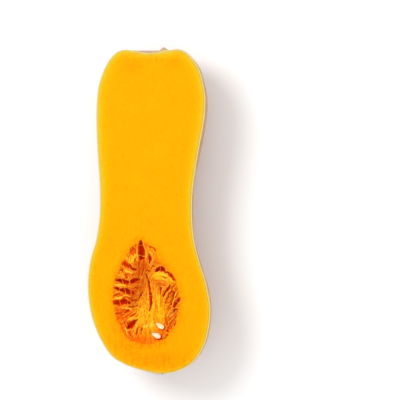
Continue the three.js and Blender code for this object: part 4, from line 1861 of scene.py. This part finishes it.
@dataclass
class StrandSet:
    """The free strings: listed ones across the pockets and many fine ones along the grain."""

    pulp: Pulp
    bridges: tuple[Strand, ...] = each(
        Strand,
        ((-16.9, 74.8), (-15.9, 66.6), 1, 0.2, 0.3), ((-19.8, 78.8), (-16.8, 73.8), 0.7, 0.1, 0.2),
        ((-11.4, 78.6), (-16.5, 73.2), 0.7, 0.1, -0.3),
        ((-22.6, 73.8), (-21.2, 69), 0.45, 0.8, -0.2), ((-25.2, 66.8), (-24, 63.2), 0.45, 0.5, 0.3),
        ((-20.8, 66.6), (-19.2, 61.4), 0.5, 0.9, 0.2), ((-15.4, 65.2), (-15, 60.4), 0.4, 0.9, 0.2),
        ((-24.2, 57.6), (-22.6, 51.8), 0.5, 1.2, -0.3),
        ((-18.6, 58.4), (-17.6, 52.6), 0.5, 1.2, 0.3),
        ((-12.6, 59.4), (-11.8, 55.2), 0.4, 0.4, 0.1), ((-10.2, 92), (-4, 90.6), 0.5, 0.9, -0.2),
        ((-9.9, 98.6), (-4.9, 99.4), 0.35, 1.2, 0.2), ((-17.2, 96.8), (-12, 95), 0.4, 0.5, 0.1),
        ((-22.6, 88.4), (-20.4, 82.4), 0.45, 0.8, 0.2),
        ((-17.6, 85.8), (-15.4, 79.8), 0.4, 0.7, 0.1), ((7.7, 83), (7.4, 78.6), 0.6, 0.6, 0.2),
        ((15.6, 78.6), (14.4, 75.2), 0.4, 0.5, -0.2), ((-0.9, 60.6), (1.9, 59.8), 0.4, 0.4, 0.1),
        ((11.4, 64.2), (14.8, 62.6), 0.4, 0.6, 0.2), ((18.8, 56.6), (22.6, 54.6), 0.4, 0.8, 0.1),
        ((-11.2, 41.4), (-13.4, 34.2), 0.7, 0.4, 0.3), ((-0.9, 95.9), (4, 91.9), 0.5, 0.3, 0.3),
        ((-1.6, 93.9), (2.4, 90.9), 0.4, 0.35, -0.3), ((1, 96.3), (2.9, 91.3), 0.35, 0.3, 0.2),
        ((-17.4, 92.9), (-13.6, 86.4), 0.5, 0.3, -0.3),
        ((-16, 93.3), (-14.4, 86.9), 0.4, 0.35, 0.3), ((-18, 90.6), (-15.4, 86.2), 0.4, 0.3, 0.2),
    )
    fine_count: int = 340
    fine_thick: float = 0.26
    fine_clearance: float = 1.4
    fine_evenness: float = 0.35
    fine_lowest: float = -4.0
    seed: int = 907
    sides: int = 6
    spacing: float = 0.6
    waver: float = 0.35
    waver_scale: float = 420.0
    waver_seed: float = 3.7

    def spines(self, placing: Placing) -> Piece:
        """All spines as a mesh of edges that carries each point's thickness.

        Args:
            placing: The fruit's place in the frame.

        Returns:
            The mesh as an object.
        """
        points: list[tuple[float, float, float]] = []
        thick: list[float] = []
        edges: list[tuple[int, int]] = []
        for spine, width in [*self.bridge_spines(), *self.fine_spines()]:
            start = len(points)
            points += [tuple(p) for p in spine]
            thick += list(width)
            edges += [(start + i, start + i + 1) for i in range(len(spine) - 1)]
        data = bpy.data.meshes.new("spines")
        data.from_pydata(placing.metres(np.array(points)).tolist(), edges, [])
        layer = data.attributes.new("thick", "FLOAT", "POINT")
        layer.data.foreach_set("value", (np.array(thick) * MM).astype(np.float32))
        return linked("strands", data)

    def height(self, x: Rows, y: Rows) -> Rows:
        """The pulp's surface height under points, in mm."""
        return self.pulp.surface[self.pulp.cell(x, y)]

    def bridge_spines(self) -> list[tuple[Rows, Rows]]:
        """Spines that hang across a pocket from rim to rim.

        Returns:
            Each spine's points and half widths.
        """
        made = []
        for strand in self.bridges:
            share = np.linspace(0, 1, 13)
            (ax, ay), (bx, by) = strand.start, strand.end
            belly = np.sin(math.pi * share)
            length = math.hypot(bx - ax, by - ay)
            x = ax + (bx - ax) * share - (by - ay) / length * strand.bow * belly
            y = ay + (by - ay) * share + (bx - ax) / length * strand.bow * belly
            ends = self.height(np.array([ax, bx]), np.array([ay, by]))
            first, last = np.minimum(ends, -0.5)
            z = first + (last - first) * share - strand.sag * belly - strand.thick * 0.3
            width = strand.thick / 2 * (1.35 - 0.6 * belly)
            made.append((np.column_stack([x, y, z]), width))
        return made

    def fine_spines(self) -> list[tuple[Rows, Rows]]:
        """Short thin spines laid along the grain wherever the pulp isn't hollow.

        Returns:
            Each spine's points and half widths.
        """
        draw = np.random.default_rng(self.seed)
        line = self.pulp.cavity.line
        low, high = line.min(0), line.max(0)
        made = []
        steps = 10
        while len(made) < self.fine_count:
            spot = draw.uniform(low, high)
            length = draw.uniform(3.0, 9.0)
            wander = draw.normal(0, 0.12)
            lift = draw.uniform(0.0, 0.12)
            heading = self.pulp.grain_angle(spot[:1], spot[1:])[0] + draw.normal(0, 0.16)
            girth = draw.uniform(0.6, 1.4)
            path = [spot]
            for _ in range(steps):
                ahead = self.pulp.grain_angle(path[-1][:1], path[-1][1:])[0]
                turn = (ahead - heading + math.pi / 2) % math.pi - math.pi / 2
                heading += 0.35 * turn + wander / steps
                stride = length / steps * np.array([math.cos(heading), math.sin(heading)])
                path.append(path[-1] + stride)
            flat = np.array(path)
            clearance = self.pulp.inward[self.pulp.cell(*flat.T)].min()
            evenness = self.pulp.tinted(self.pulp.smooth, *spot)
            if clearance < self.fine_clearance or evenness > self.fine_evenness:
                continue
            z = self.height(*flat.T)
            smooth = np.convolve(np.pad(z, 2, mode="edge"), np.ones(5) / 5, mode="valid")
            if smooth.min() < self.fine_lowest:
                continue
            share = np.linspace(0, 1, steps + 1)
            belly = np.sin(math.pi * share)
            width = self.fine_thick / 2 * (0.35 + 0.65 * belly) * girth
            z = np.minimum(smooth + lift * belly, -0.08)
            made.append((np.column_stack([flat, z]), width))
        return made

    def tree(self, material: Material) -> bpy.types.NodeTree:
        """The Geometry Nodes tree that turns spines into wavy tapered tubes.

        Args:
            material: What the strands are dressed in.

        Returns:
            The tree.
        """
        tree = bpy.data.node_groups.new("strand_maker", "GeometryNodeTree")
        tree.interface.new_socket("Geometry", in_out="INPUT", socket_type="NodeSocketGeometry")
        tree.interface.new_socket("Sides", in_out="INPUT", socket_type="NodeSocketInt")
        for name in ("Step", "Waver", "Seed"):
            tree.interface.new_socket(name, in_out="INPUT", socket_type="NodeSocketFloat")
        tree.interface.new_socket("Geometry", in_out="OUTPUT", socket_type="NodeSocketGeometry")
        new = tree.nodes.new
        start, end = new("NodeGroupInput"), new("NodeGroupOutput")
        to_curve, spline, radius, resample = (
            new(f"GeometryNode{kind}")
            for kind in ("MeshToCurve", "CurveSplineType", "SetCurveRadius", "ResampleCurve")
        )
        thick, circle, tube = (
            new(f"GeometryNode{kind}")
            for kind in ("InputNamedAttribute", "CurvePrimitiveCircle", "CurveToMesh")
        )
        move, smooth, realize, dress = (
            new(f"GeometryNode{kind}")
            for kind in ("SetPosition", "SetShadeSmooth", "RealizeInstances", "SetMaterial")
        )
        noise = new("ShaderNodeTexNoise")
        centre, scale = new("ShaderNodeVectorMath"), new("ShaderNodeVectorMath")
        spline.spline_type = "CATMULL_ROM"
        resample.mode = "LENGTH"
        thick.data_type = "FLOAT"
        noise.noise_dimensions = "4D"
        centre.operation, scale.operation = "SUBTRACT", "SCALE"
        for node, name, value in (
            (thick, "Name", "thick"),
            (circle, "Radius", 1.0),
            (tube, "Fill Caps", True),
            (noise, "Scale", self.waver_scale),
            (noise, "Detail", 2.0),
            (centre, 1, (0.5, 0.5, 0.5)),
            (dress, "Material", material),
        ):
            node.inputs[name].default_value = value
        for source, output, target, name in (
            (start, "Geometry", to_curve, "Mesh"),
            (to_curve, "Curve", spline, "Curve"),
            (spline, "Curve", radius, "Curve"),
            (thick, "Attribute", radius, "Radius"),
            (radius, "Curve", resample, "Curve"),
            (start, "Step", resample, "Length"),
            (resample, "Curve", move, "Geometry"),
            (start, "Seed", noise, "W"),
            (noise, "Color", centre, 0),
            (centre, "Vector", scale, 0),
            (start, "Waver", scale, "Scale"),
            (scale, "Vector", move, "Offset"),
            (move, "Geometry", tube, "Curve"),
            (start, "Sides", circle, "Resolution"),
            (circle, "Curve", tube, "Profile Curve"),
            (thick, "Attribute", tube, "Scale"),
            (tube, "Mesh", smooth, "Geometry"),
            (smooth, "Geometry", realize, "Geometry"),
            (realize, "Geometry", dress, "Geometry"),
            (dress, "Geometry", end, "Geometry"),
        ):
            tree.links.new(source.outputs[output], target.inputs[name])
        return tree

    def build(self, placing: Placing, material: Material) -> Piece:
        """The strands as one plain mesh.

        Args:
            placing: The fruit's place in the frame.
            material: What the strands are dressed in.

        Returns:
            The strands.
        """
        settings = {"Sides": self.sides, "Step": self.spacing * MM}
        settings |= {"Waver": self.waver * MM, "Seed": self.waver_seed}
        return grown(self.spines(placing), self.tree(material), settings, "pulp_strands")


def grown(
    base: Piece, tree: bpy.types.NodeTree, settings: dict[str, float], name: str
) -> Piece:
    """Run a Geometry Nodes tree on an object and keep the result as a plain mesh.

    Args:
        base: The object that the tree starts from; it is removed.
        tree: The tree.
        settings: Values of the tree's named inputs.
        name: The new object's name.

    Returns:
        The new object, linked to the scene at the origin.
    """
    modifier = base.modifiers.new("grow", "NODES")
    modifier.node_group = tree
    for item in tree.interface.items_tree:
        if item.item_type == "SOCKET" and item.in_out == "INPUT" and item.name in settings:
            modifier[item.identifier] = settings[item.name]
    depsgraph = bpy.context.evaluated_depsgraph_get()
    data = bpy.data.meshes.new_from_object(
        base.evaluated_get(depsgraph), preserve_all_data_layers=True, depsgraph=depsgraph
    )
    data.name = name
    base.modifiers.remove(modifier)
    bpy.data.objects.remove(base)
    LOG.info("%s: %d faces", name, len(data.polygons))
    return linked(name, data)


# ---- the seeds


def about(axis: int, degrees: float) -> Rows:
    """The matrix of a turn about an axis.

    Args:
        axis: 0 to 2 for x to z.
        degrees: How far.

    Returns:
        Three rows of three.
    """
    cos, sin = math.cos(math.radians(degrees)), math.sin(math.radians(degrees))
    turn = np.eye(3)
    first, second = (axis + 1) % 3, (axis + 2) % 3
    turn[first, first] = turn[second, second] = cos
    turn[first, second], turn[second, first] = -sin, sin
    return turn


@dataclass(frozen=True)
class Seed:
    """One flat seed, in mm and degrees, turned as its CAD node is, and how far it lies bare."""

    name: str
    coat: Coat
    place: tuple[float, float, float]
    heading: float
    roll: float
    dip: float
    bare_length: float
    bare_width: float
    aside: float = 0.0
    ahead: float = 0.0
    # strength of the gap on the seed's shaded side, painted dark as shadow
    gap: float = 0.0
    length: float = 11.4
    width: float = 6.0
    thick: float = 2.6
    taper: float = 0.28
    steep: float = 30.0
    skin: float = 0.22
    rings: int = 44
    round_it: int = 40

    def bed(self, x: Rows, y: Rows, height: Rows, ragged: Rows) -> tuple[Rows, Rows]:
        """The pulp's height with an opening over the seed and a gap along its shaded side, painted
        dark as shadow.

        Args:
            x: Across the grid.
            y: Along the grid.
            height: The pulp's height there.
            ragged: How ragged the opening's edge is there.

        Returns:
            The new height, and how far each point is in the gap, from 0 to 1.
        """
        cos, sin = math.cos(math.radians(self.heading)), math.sin(math.radians(self.heading))
        along = (x - self.place[0]) * cos + (y - self.place[1]) * sin - self.ahead
        across = (y - self.place[1]) * cos - (x - self.place[0]) * sin - self.aside
        height = np.maximum(height, self.draped(along + self.ahead, across + self.aside))
        share = np.clip(along / (self.bare_length / 2), -1.2, 1.2)
        girth = self.bare_width / 2 * (1 - 0.34 * share)
        reach = np.hypot(along / (self.bare_length / 2), across / girth)
        reach += ragged * (1.0 - 0.8 * self.gap) / self.bare_width
        floor = self.place[2] - 0.5 - along * math.sin(math.radians(self.dip))
        opening = 1 - smoothstep(reach, 0.8, 1.16)
        height = height + (np.minimum(height, floor) - height) * opening
        # On the side away from the key light: a gap, lowered a little and painted dark as shadow
        # through the pulp's pit value.
        shaded = smoothstep(0.55 * (x - self.place[0]) - 0.83 * (y - self.place[1]), 0.3, 2.4)
        gap = self.gap * shaded * np.exp(-(((reach - 1.22) / 0.2) ** 2))
        beside = smoothstep(self.outward(along + self.ahead, across + self.aside), 0.98, 1.1)
        return height - 0.5 * gap * beside, gap

    def outward(self, along: Rows, across: Rows) -> Rows:
        """How far out a point lies on the seed, from 0 at its middle to 1 at its edge."""
        share = along / (self.length / 2)
        return np.hypot(share, across / (self.width / 2 * (1 - self.taper * share)))

    def draped(self, along: Rows, across: Rows) -> Rows:
        """The height of a thin skin of pulp over the seed, or very low beside it.

        Args:
            along: Along the seed from its middle.
            across: Across it.

        Returns:
            The heights.
        """
        own = self.outward(along, across)
        crown = self.thick / 2 * np.clip(1 - own**2, 0, 1) ** 0.3
        tilt = across * math.sin(math.radians(self.roll)) - along * math.sin(math.radians(self.dip))
        skin = np.minimum(self.place[2] + tilt + crown + self.skin, -0.06)
        return np.where((own < 1.12) & (abs(self.roll) < self.steep), skin, -99.0)

    def build(self, placing: Placing) -> Piece:
        """The seed as a closed mesh with a raised margin round its flat faces.

        Args:
            placing: The fruit's place in the frame.

        Returns:
            The seed.
        """
        angle = np.linspace(0, math.pi, self.rings + 1)
        turn = np.linspace(0, 2 * math.pi, self.round_it + 1)
        x = -self.length / 2 * np.cos(angle)
        full = np.sin(angle) * (1 - self.taper * (x / (self.length / 2)))
        across = self.width / 2 * full[:, None] * np.cos(turn)
        swell = np.sign(np.sin(turn)) * np.abs(np.sin(turn)) ** 0.8
        up = self.thick / 2 * (np.sqrt(np.sin(angle))[:, None] * swell)
        edge = np.clip(np.hypot(across / (self.width / 2), x[:, None] / (self.length / 2)), 0, 1)
        groove = np.exp(-(((edge - 0.8) / 0.07) ** 2))
        up = up * (1 - 0.16 * groove)
        own = np.stack([np.broadcast_to(x[:, None], up.shape), across, up], -1)
        axes = about(2, self.heading) @ about(1, self.dip) @ about(0, self.roll)
        points = own @ axes.T + np.array(self.place)
        draft = MeshDraft()
        tip = np.broadcast_to(smoothstep(x / self.length, 0.02, 0.4)[:, None], up.shape)
        draft.sheet(draft.add(points, rim=smoothstep(edge, 0.78, 0.95), tip=tip))
        return draft.mesh(f"{self.name}_coat", placing)


SEEDS = each(
    Seed,
    ("seed_1", Coat.BARE, (7.9, 37.0, -2.3), 146, 14, 8, 7.8, 3.1, -0.1, 0.9, 1.0),
    ("seed_2", Coat.BARE, (4.6, 30.0, -2.6), 156, 12, 6, 8.2, 3.7, 0.1, 0.3, 1.0),
    ("seed_3", Coat.STRAW, (17.0, 45.4, -4.4), 44, 68, 0, 5.2, 1.2),
    ("seed_4", Coat.VEILED, (1.2, 93.4, -2.6), -42, 10, 0, 5.2, 2.6),
    ("seed_5", Coat.VEILED, (15.4, 57.6, -4.8), 58, 62, 0, 7.0, 2.4),
    ("seed_6", Coat.VEILED, (-15.6, 89.8, -2.6), 62, -12, 0, 5.0, 2.4),
)


# ---- the studio


@dataclass
class Studio:
    """White floor, white surroundings, one soft key light and the camera, in metres."""

    tilt: float = 10.0
    distance: float = 2.6
    frame_width: float = 0.30795
    right_of_object: float = 0.03991
    above_object: float = 0.00870
    world: float = 1.0
    key: float = 0.36
    key_place: tuple[float, float, float] = (-0.85, 0.75, 1.6)
    key_size: float = 0.9
    floor_side: float = 8.0
    floor_grey: float = 0.88

    def floor(self) -> None:
        """A wide plain white floor."""
        data = bpy.data.meshes.new("floor")
        side = self.floor_side / 2
        corners = [(-side, -side, 0), (side, -side, 0), (side, side, 0), (-side, side, 0)]
        data.from_pydata(corners, [], [(0, 1, 2, 3)])
        piece = linked("floor", data)
        material = bpy.data.materials.new("floor_white")
        material.use_nodes = True
        shader = material.node_tree.nodes["Principled BSDF"]
        shader.inputs["Base Color"].default_value = (*(self.floor_grey,) * 3, 1)
        shader.inputs["Roughness"].default_value = 1.0
        shader.inputs["Specular IOR Level"].default_value = 0.0
        data.materials.append(material)

    def lights(self) -> None:
        """White surroundings and a soft key light from the upper left."""
        world = bpy.data.worlds.new("white")
        world.use_nodes = True
        background = world.node_tree.nodes["Background"]
        background.inputs["Color"].default_value = (1, 1, 1, 1)
        background.inputs["Strength"].default_value = self.world
        bpy.context.scene.world = world
        lamp = bpy.data.lights.new("key", "AREA")
        lamp.shape = "DISK"
        lamp.size = self.key_size
        place = Vector(self.key_place)
        lamp.energy = self.key * math.pi**2 * place.length_squared / place.normalized().z
        light = linked("key", lamp)
        light.location = place
        light.rotation_euler = place.to_track_quat("Z", "Y").to_euler()

    def camera(self, top: float) -> None:
        """Look down on the cut face from a little to its right.

        Args:
            top: The cut face's height, in metres.
        """
        data = bpy.data.cameras.new("camera")
        camera = linked("camera", data)
        target = Vector((self.right_of_object, self.above_object, top))
        angle = math.radians(self.tilt) - self.right_of_object / self.distance
        back = Vector((math.sin(angle), 0.0, math.cos(angle)))
        right = Vector((math.cos(angle), 0.0, -math.sin(angle)))
        turn = Matrix((right, Vector((0.0, 1.0, 0.0)), back)).transposed()
        camera.location = target + back * self.distance
        camera.rotation_euler = turn.to_euler()
        data.angle = 2 * math.atan(self.frame_width / 2 / self.distance)
        bpy.context.scene.camera = camera

    def build(self, top: float) -> None:
        """Set everything up.

        Args:
            top: The cut face's height, in metres.
        """
        self.floor()
        self.lights()
        self.camera(top)
        bpy.context.scene.view_settings.view_transform = "Standard"


def finish_piece(
    piece: Piece, material: Material | None, slot: Slot, *nodes: str
) -> None:
    """Dress a piece and tie it to the frame.

    Args:
        piece: The finished object.
        material: Its material, or None if it already has one.
        slot: The record's material slot; not used.
        *nodes: The CAD nodes that it stands for.
    """
    if material is not None:
        piece.data.materials.clear()
        piece.data.materials.append(material)
    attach(piece, "root")
    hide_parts(*nodes)
    LOG.info("%s stands for %s", piece.name, ", ".join(nodes))


def main() -> None:
    """Build every piece in order."""
    logging.basicConfig(level=logging.INFO, format="%(name)s: %(message)s")
    body, cavity = SquashBody(), SeedCavity()
    placing = Placing.on(body.edges, "squash_half")
    Studio().build(CAD_BOX[1][2])
    rind = body.build_rind(placing)
    finish_piece(rind, SkinFinish().material(placing), Slot.SKIN, "squash_half")
    flesh = body.build_flesh(placing, cavity)
    finish_piece(flesh, FleshFinish().material(placing), Slot.FLESH, "squash_half")
    pulp = Pulp(body, cavity, SEEDS)
    finish_piece(pulp.build(placing), PulpFinish().material(placing), Slot.PULP, "seed_pulp")
    strands = StrandSet(pulp).build(placing, StrandFinish().material(placing))
    finish_piece(strands, None, Slot.PULP, "seed_pulp")
    for coat, finish in SEED_FINISHES.items():
        material = finish.material(placing)
        for seed in SEEDS:
            if seed.coat is coat:
                finish_piece(seed.build(placing), material, Slot.SEED, seed.name)


if __name__ == "__main__":
    main()
